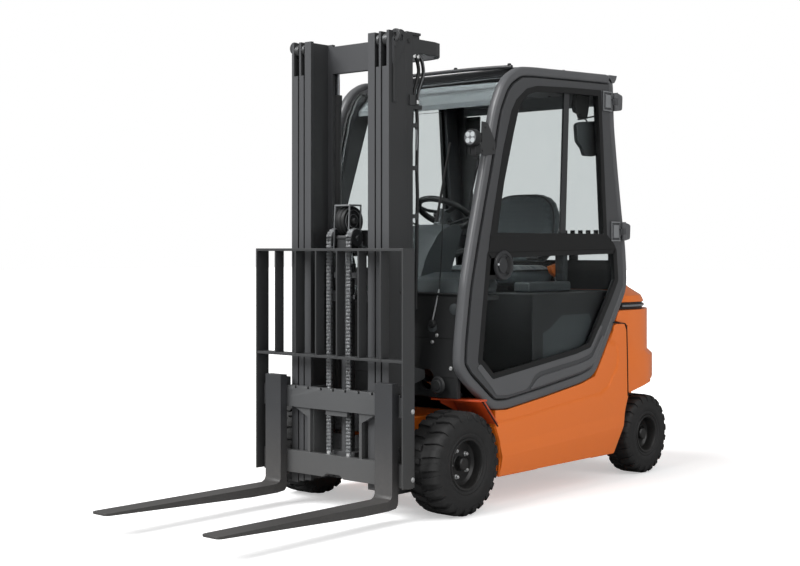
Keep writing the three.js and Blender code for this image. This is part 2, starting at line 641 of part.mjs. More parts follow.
function middleMast() {
  const { out, web, width } = middleRail;
  const post = cut(channel(middleRail, rail.foot + 8, mastTop - 2), flangeCut(middleRail));
  const tie = (z0, z1) => box(-out, out, rail.rear - 4, rail.rear + 20, z0, z1);
  const [topTie, topEdge] = [mastTop - 125, mastTop - 25];
  const cheek = box(out - width, out, rail.rear - 12, rail.rear, topTie, topEdge);
  const c = liftCylinder;
  const head = box(c.x - 22, c.x + 22, rail.rear + 10, c.y + 20, liftRodTop + seam, liftRodTop + 22);
  const side = join(
    post, cheek, head,
    roller(out, outerRail.out - outerRail.web - free, 230),
    roller(out - width - 2, out - web, mastTop - 62, 48));
  const hollow = box(-(out - width - 1), out - width - 1, rail.rear - 10, rail.rear, 0, 3000);
  return cut(join(both(side), tie(335, 415), tie(1000, 1080), tie(topTie, topEdge)), hollow);
}

function innerMast() {
  const { out, width } = innerRail;
  const post = channel(innerRail, rail.foot + 16, mastTop - 4);
  const half = out - width + 15;
  const tie = (z0, z1) => box(-half, half, rail.rear - rail.flange, rail.rear - free, z0, z1);
  const side = join(post, roller(out, middleRail.out - middleRail.web - free, 330));
  const c = freeCylinder;
  const bore = rod('z', c.rod + 0.4, c.foot + 26, c.top + 10, [0, c.y]);
  const barrel = join(
    rod('z', c.barrel, c.foot - 10, c.top, [0, c.y]),
    rod('z', c.barrel + 5, c.top - 40, c.top, [0, c.y]));
  const foot = box(-70, 70, c.y - c.barrel, rail.rear - free, c.foot - 20, c.foot);
  const anchor = box(-76, 76, c.y - 12, c.y + 24, 1036, 1060);
  const brace = box(-40, 40, c.y, rail.rear - free, 940, 960);
  const ties = [tie(235, 320), tie(925, 975), tie(1180, 1250), tie(mastTop - 140, mastTop - 14)];
  return cut(join(both(side), ties, barrel, foot, anchor, brace), bore);
}

function crossheadBlock() {
  const { sheaveX, sheaveY, sheaveZ, sheaveR, hosePulleyR } = crosshead;
  const half = chain.width / 2;
  const cheek = prism('x', soften([
    [-262, 1150], [-178, 1150], [-168, 1290], [-186, 1362], [-220, 1362], [-238, 1290],
  ], 14, 2), 34, 42);
  const side = join(cheek,
    rod('x', sheaveR, sheaveX - half, sheaveX + half, [sheaveY, sheaveZ], 24),
    rod('x', sheaveR + 4, sheaveX + half, sheaveX + half + 3, [sheaveY, sheaveZ], 24));
  return join(
    box(-44, 44, -258, -180, 1150, 1170), both(side),
    rod('x', 11, -sheaveX - half - 6, sheaveX + half + 6, [sheaveY, sheaveZ]),
    rod('x', hosePulleyR, -26, 26, [-203, 1290], 24), rod('x', 14, -46, 46, [-203, 1290]));
}

function liftChain() {
  const { sheaveX, sheaveY, sheaveZ, sheaveR } = crosshead;
  const inside = sheaveR + seam;
  const outside = inside + chain.thick;
  const arc = (r, from, to) => Array.from({ length: 13 }, (_, i) => {
    const a = from + ((to - from) * i) / 12;
    return [sheaveY + r * Math.cos(a), sheaveZ + r * Math.sin(a)];
  });
  return prism('x', [
    ...arc(outside, 0, Math.PI), [sheaveY - outside, 250 + seam], [sheaveY - inside, 250 + seam],
    ...arc(inside, Math.PI, 0), [sheaveY + inside, 1060 + seam], [sheaveY + outside, 1060 + seam],
  ], sheaveX - chain.width / 2, sheaveX + chain.width / 2);
}

function carriage() {
  const back = bar.front + bar.thick;
  const low = cut(
    box(-bar.half, bar.half, bar.front, back, bar.lowZ, bar.lowTop),
    prism('y', [
      [-64, bar.lowZ - 1], [64, bar.lowZ - 1], [40, bar.lowZ + 16], [-40, bar.lowZ + 16],
    ], -400, -200));
  const notches = [-400, -320, -235, -155, -75, 0, 75, 155, 235, 320, 400].map((x) =>
    box(x - 6, x + 6, bar.front - 1, bar.front + 12, bar.highTop - 12, bar.highTop + 1));
  const high = cut(box(-bar.half, bar.half, bar.front, back, bar.highZ, bar.highTop), notches);
  const inner = innerRail.out - innerRail.width;
  const stringer = box(inner - 30, inner - 15, back - 2, -192, 150, 545);
  const wheels = [215, 482].map((z) => join(
    roller(inner + 5, innerRail.out - innerRail.web - 5, z), roller(inner - 20, inner + 6, z, 20)));
  const gusset = prism('y', [[155, 452], [255, 452], [160, 404]], bar.front + 8, back);
  const post = box(150, 166, bar.front + 8, back, 250, 452);
  const anchor = box(crosshead.sheaveX - 15, crosshead.sheaveX + 15, back - 2, -262, 222, 250);
  return join(low, high, both(join(stringer, wheels, gusset, post, anchor)),
    box(-46, 70, bar.front + 10, back, 425, 452));
}

function loadBackrest() {
  const { half, plate, front, depth, foot, top, mid } = guard;
  const side = box(half - plate, half, front, front + depth, foot, top);
  const slats = [64, 193, 322].map((x) => box(x - 4, x + 4, front, front + 52, mid, top));
  return join(
    both(join(side, slats)), box(-half, half, front, front + 72, top - 12, top),
    box(-half, half, front + 2, front + 60, mid - 6, mid + 6));
}

function forkArm() {
  const { inner, width, thick, shankTop, tip } = fork;
  const face = forkFace;
  const heel = face + thick;
  const end = face - forkLength;
  const outline = [
    [face, shankTop], [face, forkLift + thick + 22], [face - 8, forkLift + thick + 8],
    [face - 24, forkLift + thick], [end, forkLift + thick], [end, forkLift + thick - tip],
    [face - 180, forkLift], [face - 20, forkLift], [heel - 14, forkLift + 5], [heel - 4, forkLift + 16],
    [heel, forkLift + 34], [heel, shankTop],
  ];
  const arm = prism('x', outline, inner - 1, inner + width + 1);
  const plan = prism('z', [
    [inner, heel + 60], [inner, end + 18], [inner + 5, end + 5], [inner + 18, end],
    [inner + width - 18, end], [inner + width - 5, end + 5], [inner + width, end + 18],
    [inner + width, heel + 60],
  ], 0, 1000);
  const [lug0, lug1] = [inner + 8, inner + width - 8];
  const back = bar.front + bar.thick - seam;
  const hook = box(lug0, lug1, heel - 4, back, bar.highTop + seam, shankTop - 12);
  const toe = box(lug0, lug1, heel - 4, bar.front + 16, bar.lowZ - seam - 14, bar.lowZ - seam);
  return join(arm.intersect(plan), hook, toe);
}

// ---- tilt cylinders --------------------------------------------------------------------
const tiltLength = Math.hypot(tilt.baseY - tilt.eyeY, tilt.eyeZ - tilt.baseZ);
const tiltLean = Math.atan2(tilt.eyeZ - tilt.baseZ, tilt.baseY - tilt.eyeY) * 180 / Math.PI;

// Drawn along -Y from the base pin, then leaned up to the eye on the mast.
function leanedCylinder(shape) {
  const place = new THREE.Matrix4().makeTranslation(tilt.x, tilt.baseY, tilt.baseZ)
    .multiply(new THREE.Matrix4().makeRotationX(-tiltLean * Math.PI / 180));
  return moved(shape, place);
}

function tiltBarrel() {
  const barrel = join(
    rod('y', tilt.barrel, -400, -36, [0, 0], 20), rod('y', tilt.barrel + 3, -400, -372, [0, 0], 20),
    rod('x', 24, -tilt.eye, tilt.eye, [0, 0]), box(-tilt.eye, tilt.eye, -44, 0, -16, 16));
  return leanedCylinder(cut(barrel,
    rod('x', tilt.pin + running, -20, 20, [0, 0]), rod('y', tilt.rod + 0.4, -410, -60, [0, 0])));
}

function tiltRod() {
  const eye = cut(
    join(
      rod('x', 26, -tilt.eye, tilt.eye, [-tiltLength, 0]),
      rod('y', tilt.rod, -tiltLength + 20, -130, [0, 0])),
    rod('x', tilt.pin + free, -20, 20, [-tiltLength, 0]));
  return leanedCylinder(eye);
}

// ---- assembly --------------------------------------------------------------------------
const group = new THREE.Group();
const centreY = (forkFace - forkLength + counterweightRear) / 2;

function piece(name, shape, finish) {
  const [color, metalness, roughness] = finishes[finish];
  const material = new THREE.MeshStandardMaterial({ name: finish, color, metalness, roughness });
  const mesh = new THREE.Mesh(surface(shape).translate(0, -centreY, 0), material);
  mesh.name = name;
  group.add(mesh);
}

function pair(name, shape, finish) {
  piece(`${name}_left`, shape, finish);
  piece(`${name}_right`, mirrored(shape), finish);
}

const at = (shape, y) => moved(shape, new THREE.Matrix4().makeTranslation(0, y, 0));

piece('chassis_frame', chassis(), 'orange');
piece('battery_block', box(-battery.half, battery.half, battery.front, battery.rear, battery.floor,
    battery.top),
  'batteryCase');
piece('counterweight', counterweight(), 'orange');
piece('counterweight_trim', trimStrip(), 'trim');
piece('counterweight_cap', cap(), 'orange');
piece('seat_deck', seatDeck(), 'black');
piece('floor_plate', floorPlate(), 'black');
piece('front_cowl', frontCowl(), 'black');
pair('front_fender', fender(), 'orange');
piece('drive_axle', driveAxle(), 'darkSteel');
piece('steer_axle', steerAxle(), 'darkSteel');
pair('steer_knuckle', knuckle(), 'darkSteel');
pair('front_wheel', wheel(frontTyre), 'rubber');
pair('rear_wheel', at(wheel(rearTyre), wheelbase), 'rubber');
pair('cab_side', join(cabSide(), hinges.map(hingeBracket)), 'frameGrey');
piece('roof', roof(), 'darkSteel');
piece('windscreen', windscreen(), 'glass');
piece('rear_window', rearWindow(), 'glass');
pair('door_frame', doorFrame(), 'frameGrey');
pair('door_glass_upper', doorPane(upperWindow), 'glass');
pair('door_glass_lower', doorPane(lowerWindow), 'glass');
pair('headlight', headlight(), 'lamp');
piece('steering_column', steeringColumn(), 'black');
piece('steering_wheel', steeringRing(), 'black');
piece('seat_cushion', seatCushion(), 'seat');
piece('seat_backrest', seatBackrest(), 'seat');
pair('tilt_barrel', tiltBarrel(), 'black');
pair('tilt_rod', tiltRod(), 'chrome');
piece('outer_mast', outerMast(), 'mast');
piece('mast_hose_front', mastHose(hoses.frontY, hoses.frontBulge), 'black');
piece('mast_hose_rear', mastHose(hoses.rearY, hoses.rearBulge), 'black');
piece('middle_mast', middleMast(), 'mast');
piece('inner_mast', innerMast(), 'mast');
pair('lift_rod', rod('z', liftCylinder.rod, 420, liftRodTop, [liftCylinder.x, liftCylinder.y]), 'chrome');
piece('free_lift_rod', rod('z', freeCylinder.rod, 330, 1150 - seam, [0, freeCylinder.y]), 'chrome');
piece('crosshead', crossheadBlock(), 'mast');
pair('lift_chain', liftChain(), 'steel');
piece('carriage', carriage(), 'mast');
piece('load_backrest', loadBackrest(), 'mast');
pair('fork', forkArm(), 'darkSteel');

export default group;
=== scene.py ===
import json
import math

import bmesh
import bpy
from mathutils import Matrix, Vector

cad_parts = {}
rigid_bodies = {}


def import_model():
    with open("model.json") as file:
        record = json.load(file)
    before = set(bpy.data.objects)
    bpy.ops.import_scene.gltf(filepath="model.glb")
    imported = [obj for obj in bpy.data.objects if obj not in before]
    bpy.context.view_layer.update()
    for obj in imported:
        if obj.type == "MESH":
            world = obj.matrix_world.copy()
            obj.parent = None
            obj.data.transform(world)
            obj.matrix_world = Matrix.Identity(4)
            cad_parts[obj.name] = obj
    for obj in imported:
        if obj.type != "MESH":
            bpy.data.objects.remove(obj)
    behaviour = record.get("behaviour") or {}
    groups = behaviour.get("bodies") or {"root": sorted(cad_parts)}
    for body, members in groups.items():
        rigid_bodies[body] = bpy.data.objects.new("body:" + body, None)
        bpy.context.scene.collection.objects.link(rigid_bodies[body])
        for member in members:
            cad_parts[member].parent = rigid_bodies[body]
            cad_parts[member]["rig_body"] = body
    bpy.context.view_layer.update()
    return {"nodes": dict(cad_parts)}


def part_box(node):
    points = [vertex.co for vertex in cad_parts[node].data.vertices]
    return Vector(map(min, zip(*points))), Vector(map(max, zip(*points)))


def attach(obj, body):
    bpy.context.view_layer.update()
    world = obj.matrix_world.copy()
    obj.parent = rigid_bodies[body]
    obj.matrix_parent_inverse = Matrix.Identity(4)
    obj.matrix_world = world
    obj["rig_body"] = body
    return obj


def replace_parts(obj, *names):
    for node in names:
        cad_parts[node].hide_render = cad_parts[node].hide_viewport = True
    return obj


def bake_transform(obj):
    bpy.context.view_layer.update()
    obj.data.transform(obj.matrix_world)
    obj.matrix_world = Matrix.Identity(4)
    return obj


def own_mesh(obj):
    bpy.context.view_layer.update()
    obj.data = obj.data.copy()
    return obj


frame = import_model()
nodes = frame["nodes"]
mm = 0.001

# Lengths below are millimetres from the front axle, the centre plane and the floor.
axleLow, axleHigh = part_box("front_wheel_left")
axleY = (axleLow.y + axleHigh.y) / 2


def spot(x, y, z):
    return Vector((x * mm, axleY + y * mm, z * mm))


# camera, light and floor
studio = {
    "turn": 41.2117, "eye": (4.242, -4.973, 1.165), "lens": 62.03, "drop": -0.0425,
    "surround": 0.32, "keyPower": 4.0, "keyFrom": (-0.30, -0.80, 0.80), "keySpread": 40,
    "fillPower": 1.3, "fillFrom": (0.90, -0.30, 0.65), "fillSpread": 60,
    "floorSize": 60, "floorLift": 0.42,
}


def makeCamera():
    lens = bpy.data.cameras.new("frontThreeQuarter")
    lens.sensor_width = 36
    lens.lens = studio["lens"]
    lens.shift_y = studio["drop"]
    camera = bpy.data.objects.new("frontThreeQuarter", lens)
    camera.location = studio["eye"]
    camera.rotation_euler = (math.pi / 2, 0, math.radians(studio["turn"]))
    bpy.context.scene.collection.objects.link(camera)
    bpy.context.scene.camera = camera


def addNode(tree, kind, settings=None, inputs=None):
    made = tree.nodes.new(kind)
    for name, value in (settings or {}).items():
        setattr(made, name, value)
    for name, value in (inputs or {}).items():
        if isinstance(value, bpy.types.NodeSocket):
            tree.links.new(value, made.inputs[name])
        else:
            made.inputs[name].default_value = value
    return made


def makeLights():
    for name, power, source, spread in (
        ("softKey", studio["keyPower"], studio["keyFrom"], studio["keySpread"]),
        ("softFill", studio["fillPower"], studio["fillFrom"], studio["fillSpread"]),
    ):
        lamp = bpy.data.lights.new(name, "SUN")
        lamp.energy = power
        lamp.angle = math.radians(spread)
        holder = bpy.data.objects.new(name, lamp)
        holder.rotation_euler = Vector(source).to_track_quat("Z", "Y").to_euler()
        bpy.context.scene.collection.objects.link(holder)
    world = bpy.data.worlds.new("paleStudio")
    world.use_nodes = True
    tree = world.node_tree
    tree.nodes.clear()
    path = addNode(tree, "ShaderNodeLightPath")
    seen = addNode(tree, "ShaderNodeMath", {"operation": "MAXIMUM"},
                   {0: path.outputs["Is Camera Ray"], 1: path.outputs["Is Transmission Ray"]})
    dim = addNode(tree, "ShaderNodeBackground", None,
                  {"Color": (1, 1, 1, 1), "Strength": studio["surround"]})
    white = addNode(tree, "ShaderNodeBackground", None, {"Color": (1, 1, 1, 1), "Strength": 1.0})
    mixed = addNode(tree, "ShaderNodeMixShader", None,
                    {0: seen.outputs[0], 1: dim.outputs[0], 2: white.outputs[0]})
    addNode(tree, "ShaderNodeOutputWorld", None, {"Surface": mixed.outputs[0]})
    bpy.context.scene.world = world


def makeFloor():
    half = studio["floorSize"]
    mesh = bpy.data.meshes.new("studioFloor")
    corners = [(-half, -half, 0), (half, -half, 0), (half, half, 0), (-half, half, 0)]
    mesh.from_pydata(corners, [], [(0, 1, 2, 3)])
    floor = bpy.data.objects.new("studioFloor", mesh)
    bpy.context.scene.collection.objects.link(floor)
    material = bpy.data.materials.new("paleFloor")
    material.use_nodes = True
    tree = material.node_tree
    tree.nodes.clear()
    path = addNode(tree, "ShaderNodeLightPath")
    shade = addNode(tree, "ShaderNodeMix", {"data_type": "RGBA"},
                    {"Factor": path.outputs["Is Glossy Ray"], 6: (0.86, 0.86, 0.86, 1),
                     7: (0.2, 0.2, 0.2, 1)})
    matt = addNode(tree, "ShaderNodeBsdfDiffuse", None, {"Color": shade.outputs[2]})
    lift = addNode(tree, "ShaderNodeMath", {"operation": "MULTIPLY"},
                   {0: path.outputs["Is Camera Ray"], 1: studio["floorLift"]})
    glow = addNode(tree, "ShaderNodeEmission", None, {"Color": (1, 1, 1, 1), "Strength": lift.outputs[0]})
    both = addNode(tree, "ShaderNodeAddShader", None, {0: matt.outputs[0], 1: glow.outputs[0]})
    addNode(tree, "ShaderNodeOutputMaterial", None, {"Surface": both.outputs[0]})
    mesh.materials.append(material)


bpy.context.scene.view_settings.view_transform = "Standard"
makeCamera()
makeLights()
makeFloor()
print("camera, light and floor are set")


# finishes
def linear(colour):
    channels = [int(colour[i:i + 2], 16) / 255 for i in (1, 3, 5)]
    return [c / 12.92 if c <= 0.04045 else ((c + 0.055) / 1.055) ** 2.4 for c in channels] + [1]


def startFinish(name, **fixed):
    material = bpy.data.materials.new(name)
    material.use_nodes = True
    tree = material.node_tree
    shader = tree.nodes["Principled BSDF"]
    for key, value in fixed.items():
        shader.inputs[key].default_value = value
    place = addNode(tree, "ShaderNodeTexCoord").outputs["Object"]
    return material, tree, shader, place


def perMetre(size):
    return 1 / (size * mm)  # texture scale for a pattern of that size in millimetres


def noise(tree, place, size, detail, **more):
    made = addNode(tree, "ShaderNodeTexNoise", None,
                   {"Vector": place, "Scale": perMetre(size), "Detail": detail, **more})
    return made.outputs["Fac"]


def blended(tree, share, first, second):
    made = addNode(tree, "ShaderNodeMix", {"data_type": "RGBA"}, {"Factor": share, 6: first, 7: second})
    return made.outputs[2]


def scaled(tree, value, low, high, **more):
    made = addNode(tree, "ShaderNodeMapRange", None,
                   {"Value": value, "To Min": low, "To Max": high, **more})
    return made.outputs[0]


def toned(tree, colour, value):
    made = addNode(tree, "ShaderNodeHueSaturation", None, {"Color": linear(colour), "Value": value})
    return made.outputs[0]


def softEdge(tree, radius):
    return addNode(tree, "ShaderNodeBevel", {"samples": 6}, {"Radius": radius * mm}).outputs[0]


def bumped(tree, height, depth, strength, **more):
    made = addNode(tree, "ShaderNodeBump", None,
                   {"Height": height, "Distance": depth * mm, "Strength": strength, **more})
    return made.outputs[0]


def plug(tree, shader, sources):
    for socket, source in sources.items():
        tree.links.new(source, shader.inputs[socket])


def sprayed(name, look):
    # Paint on steel: a slow drift of tone, a film of dust low down, a faint orange peel and soft edges. A
    # look with a face colour also gets a painted highlight: its forward-looking faces are painted lighter.
    coat = {"Coat Weight": look.get("coat", 0.0), "Coat Roughness": 0.2}
    material, tree, shader, place = startFinish(name, Metallic=look.get("metallic", 0.0), IOR=1.5, **coat)
    drift = noise(tree, place, look["driftMm"], 3.0)
    painted = blended(tree, drift, linear(look["colour"]), linear(look["second"]))
    if "face" in look:
        # painted highlight: the faces that look forward are painted a little lighter, standing in for the
        # light that falls on them from the front
        way = addNode(tree, "ShaderNodeNewGeometry")
        forward = addNode(tree, "ShaderNodeSeparateXYZ", None, {0: way.outputs["True Normal"]})
        share = scaled(tree, forward.outputs["Y"], 0.0, 1.0, **{"From Min": -0.9, "From Max": -0.98})
        painted = blended(tree, share, painted, linear(look["face"]))
    height = addNode(tree, "ShaderNodeSeparateXYZ", None, {0: place})
    low = scaled(tree, height.outputs["Z"], 0.0, look.get("dust", 0.10),
                 **{"From Min": 0.45, "From Max": 0.08})
    speck = noise(tree, place, 14, 6.0, Roughness=0.7)
    dusty = addNode(tree, "ShaderNodeMath", {"operation": "MULTIPLY"}, {0: low, 1: speck})
    peel = noise(tree, place, look["grainMm"], 2.0)
    edge = softEdge(tree, look.get("edgeMm", 2.5))
    plug(tree, shader, {
        "Base Color": blended(tree, dusty.outputs[0], painted, linear("#8f8578")),
        "Roughness": scaled(tree, speck, look["roughness"] - 0.06, look["roughness"] + 0.08),
        "Normal": bumped(tree, peel, look.get("depthMm", 0.15), look.get("strength", 0.35), Normal=edge),
    })
    return material


# Powder-coated sheet and castings. Orange peel is about 1 mm: it is drawn at 4 to 9 mm so that it shows.
paints = {
    "orangeEnamel": {"colour": "#d96c1b", "second": "#d26717", "driftMm": 320, "roughness": 0.36,
                     "grainMm": 5, "coat": 0.25, "dust": 0.06, "depthMm": 0.1},
    "redOrangeEnamel": {"colour": "#bd4519", "second": "#b03e17", "driftMm": 200, "roughness": 0.4,
                        "grainMm": 5, "coat": 0.2, "dust": 0.05, "depthMm": 0.1},
    "charcoalEnamel": {"colour": "#2b2c2d", "second": "#323334", "driftMm": 200, "roughness": 0.46,
                       "grainMm": 6, "dust": 0.12},
    "greyCabEnamel": {"colour": "#4b4c4e", "second": "#525355", "driftMm": 260, "roughness": 0.34,
                      "grainMm": 4, "edgeMm": 5, "dust": 0.04},
    "doorEnamel": {"colour": "#3a3b3d", "second": "#404143", "driftMm": 240, "roughness": 0.42,
                   "grainMm": 4, "edgeMm": 4, "dust": 0.04},
    "hingeGrey": {"colour": "#6c6e70", "second": "#747678", "driftMm": 120, "roughness": 0.4,
                  "grainMm": 4, "edgeMm": 2, "dust": 0.02},
    "blackCabEnamel": {"colour": "#28292b", "second": "#2e2f31", "driftMm": 220, "roughness": 0.42,
                       "grainMm": 4, "dust": 0.04},
    "mastEnamel": {"colour": "#313233", "second": "#373839", "driftMm": 420, "roughness": 0.42,
                   "grainMm": 6, "edgeMm": 3, "dust": 0.08},
    # the rails' face colour is a painted highlight on their forward-looking faces
    "railEnamel": {"colour": "#2d2e2f", "second": "#333435", "face": "#434446", "driftMm": 420,
                   "roughness": 0.42, "grainMm": 6, "edgeMm": 3, "dust": 0.08},
    "carriageEnamel": {"colour": "#454647", "second": "#4b4c4d", "driftMm": 300, "roughness": 0.4,
                       "grainMm": 6, "edgeMm": 3, "dust": 0.1},
    "forkEnamel": {"colour": "#2a2b2d", "second": "#343537", "driftMm": 160, "roughness": 0.4,
                   "grainMm": 9, "edgeMm": 3, "depthMm": 0.3, "dust": 0.16},
    "cylinderEnamel": {"colour": "#131415", "second": "#18191a", "driftMm": 160, "roughness": 0.34,
                       "grainMm": 5, "dust": 0.05},
}


def mouldedPlastic(name, colour, roughness, grain, depth=0.25):
    # Injection-moulded ABS or polypropylene: a fine leather grain breaks up the highlight.
    material, tree, shader, place = startFinish(name, IOR=1.48)
    cells = addNode(tree, "ShaderNodeTexVoronoi", None, {"Vector": place, "Scale": perMetre(grain)})
    cloud = noise(tree, place, 90, 4.0)
    plug(tree, shader, {
        "Base Color": toned(tree, colour, scaled(tree, cloud, 0.86, 1.14)),
        "Roughness": scaled(tree, cloud, roughness - 0.05, roughness + 0.07),
        "Normal": bumped(tree, cells.outputs["Distance"], depth, 0.3, Normal=softEdge(tree, 1.5)),
    })
    return material


def tyreRubber():
    # Vulcanised solid rubber: matt black with a patchy grey bloom of dust.
    material, tree, shader, place = startFinish("vulcanisedRubber", IOR=1.52)
    patch = noise(tree, place, 28, 7.0)
    plug(tree, shader, {
        "Base Color": blended(tree, patch, linear("#101011"), linear("#222222")),
        "Roughness": scaled(tree, patch, 0.55, 0.8),
        "Normal": bumped(tree, noise(tree, place, 3, 4.0), 0.4, 0.4),
    })
    return material


def workedMetal(name, colour, roughness, streak, along=(1, 1, 0.04)):
    # Bare or plated steel: fine tool marks drawn out along one way make the highlight run across them.
    material, tree, shader, place = startFinish(name, Metallic=1.0)
    stretch = addNode(tree, "ShaderNodeVectorMath", {"operation": "MULTIPLY"}, {0: place, 1: along})
    marks = noise(tree, stretch.outputs[0], streak, 5.0)
    plug(tree, shader, {
        "Base Color": toned(tree, colour, scaled(tree, marks, 0.8, 1.15)),
        "Roughness": scaled(tree, marks, max(roughness - 0.06, 0.03), roughness + 0.08),
        "Normal": bumped(tree, marks, 0.1, 0.2),
    })
    return material


def cabGlass(name, tint, roughness):
    # Tempered safety glass: clear and slightly green-grey, with rain marks that only dull its gloss.
    clearGlass = {"Transmission Weight": 1.0, "Specular IOR Level": 0.9}
    material, tree, shader, place = startFinish(name, IOR=1.1, **clearGlass)
    marks = noise(tree, place, 120, 5.0)
    plug(tree, shader, {
        "Base Color": blended(tree, marks, linear(tint[0]), linear(tint[1])),
        "Roughness": scaled(tree, marks, 0.0, roughness, **{"From Min": 0.4, "From Max": 0.7}),
    })
    # lamps shine through the pane instead of stopping at it
    path = addNode(tree, "ShaderNodeLightPath")
    clear = addNode(tree, "ShaderNodeBsdfTransparent", None, {"Color": linear(tint[0])})
    both = addNode(tree, "ShaderNodeMixShader", None,
                   {0: path.outputs["Is Shadow Ray"], 1: shader.outputs[0], 2: clear.outputs[0]})
    tree.links.new(both.outputs[0], tree.nodes["Material Output"].inputs["Surface"])
    return material


def wovenSeat():
    # Dark woven polyester over foam, with a soft sheen on the crowns of its ribs.
    sheen = {"Sheen Weight": 0.35, "Sheen Roughness": 0.45}
    material, tree, shader, place = startFinish("wovenPolyester", IOR=1.46, **sheen)
    ribs = addNode(tree, "ShaderNodeTexWave", {"bands_direction": "X"},
                   {"Vector": place, "Scale": perMetre(4) / 20, "Distortion": 0.6, "Detail": 2.0})
    weft = addNode(tree, "ShaderNodeTexWave", {"bands_direction": "Z"},
                   {"Vector": place, "Scale": perMetre(4) / 20, "Distortion": 0.8})
    cloth = addNode(tree, "ShaderNodeMath", {"operation": "MULTIPLY"},
                    {0: ribs.outputs["Fac"], 1: weft.outputs["Fac"]}).outputs[0]
    plug(tree, shader, {
        "Base Color": blended(tree, cloth, linear("#42484b"), linear("#4b5255")),
        "Normal": bumped(tree, cloth, 0.4, 0.3),
    })
    shader.inputs["Roughness"].default_value = 0.85
    return material


finish = {name: sprayed(name, look) for name, look in paints.items()}
finish.update({
    "mouldedBlack": mouldedPlastic("mouldedBlack", "#1e1f20", 0.5, 5),
    "mouldedGrey": mouldedPlastic("mouldedGrey", "#3b3f41", 0.55, 5),
    "headliner": mouldedPlastic("headliner", "#74787a", 0.6, 6),
    "gasketRubber": mouldedPlastic("gasketRubber", "#111213", 0.62, 4),
    "hoseRubber": mouldedPlastic("hoseRubber", "#151617", 0.45, 6, 0.5),
    "batteryCase": mouldedPlastic("batteryCase", "#3c4043", 0.6, 7),
    "buckleOrange": mouldedPlastic("buckleOrange", "#d8702c", 0.4, 4),
    "tyreRubber": tyreRubber(),
    "hardChrome": workedMetal("hardChrome", "#c9ccd0", 0.12, 4, (1, 1, 8)),
    "oiledSteel": workedMetal("oiledSteel", "#c2c4c6", 0.4, 6, (1, 1, 1)),
    "zincPlate": workedMetal("zincPlate", "#eceded", 0.5, 5, (1, 1, 1)),
    "anodisedTrim": workedMetal("anodisedTrim", "#b4b7ba", 0.28, 8, (0.05, 1, 1)),
    "mirrorSilver": workedMetal("mirrorSilver", "#d5d9db", 0.05, 60, (1, 1, 1)),
    "rollerSteel": workedMetal("rollerSteel", "#6a6b6c", 0.4, 6, (1, 1, 1)),
    "seatPiping": mouldedPlastic("seatPiping", "#1a1b1c", 0.6, 3),
    "lampLens": mouldedPlastic("lampLens", "#b4b8ba", 0.15, 3),
    "cabGlass": cabGlass("cabGlass", ("#e2e5e5", "#dde1e1"), 0.03),
    "wovenSeat": wovenSeat(),
})

nodeFinish = {
    "chassis_frame": "orangeEnamel", "counterweight": "orangeEnamel", "counterweight_cap": "orangeEnamel",
    "counterweight_trim": "mouldedBlack", "battery_block": "batteryCase", "seat_deck": "mouldedBlack",
    "floor_plate": "mouldedBlack", "front_cowl": "mouldedBlack", "drive_axle": "charcoalEnamel",
    "steer_axle": "charcoalEnamel", "roof": "blackCabEnamel", "windscreen": "cabGlass",
    "rear_window": "cabGlass", "steering_column": "mouldedBlack", "steering_wheel": "mouldedBlack",
    "outer_mast": "railEnamel", "middle_mast": "railEnamel", "inner_mast": "railEnamel",
    "free_lift_rod": "hardChrome", "crosshead": "mastEnamel", "carriage": "mastEnamel",
    "load_backrest": "mastEnamel", "mast_hose_front": "hoseRubber", "mast_hose_rear": "hoseRubber",
    "seat_cushion": "wovenSeat", "seat_backrest": "wovenSeat",
}
for side in ("left", "right"):
    for name, kind in (
        ("front_fender", "redOrangeEnamel"), ("cab_side", "greyCabEnamel"), ("headlight", "mouldedBlack"),
        ("steer_knuckle", "charcoalEnamel"), ("front_wheel", "tyreRubber"), ("rear_wheel", "tyreRubber"),
        ("door_frame", "greyCabEnamel"), ("door_glass_upper", "cabGlass"), ("door_glass_lower", "cabGlass"),
        ("tilt_barrel", "cylinderEnamel"), ("tilt_rod", "hardChrome"), ("lift_rod", "hardChrome"),
        ("lift_chain", "oiledSteel"), ("fork", "forkEnamel"),
    ):
        nodeFinish[f"{name}_{side}"] = kind
for name, kind in nodeFinish.items():
    nodes[name].data.materials.clear()
    nodes[name].data.materials.append(finish[kind])
print("finishes are on", len(nodeFinish), "nodes")


# shape helpers: a shape is (points in millimetres, faces)
def merge(*shapes):
    points, faces = [], []
    for some, loops in shapes:
        first = len(points)
        points += some
        faces += [[i + first for i in loop] for loop in loops]
    return points, faces


def flipX(shape):
    points, faces = shape
    return [(-x, y, z) for x, y, z in points], [loop[::-1] for loop in faces]


def shift(shape, x=0, y=0, z=0):
    return [(a + x, b + y, c + z) for a, b, c in shape[0]], shape[1]


def tilt(shape, angle, y, z):
    # turned about the line along X through (y, z)
    c, s = math.cos(angle), math.sin(angle)
    turned = [(a, y + (b - y) * c - (h - z) * s, z + (b - y) * s + (h - z) * c) for a, b, h in shape[0]]
    return turned, shape[1]


def turnZ(shape, angle, x, y):
    c, s = math.cos(angle), math.sin(angle)
    turned = [(x + (a - x) * c - (b - y) * s, y + (a - x) * s + (b - y) * c, h) for a, b, h in shape[0]]
    return turned, shape[1]


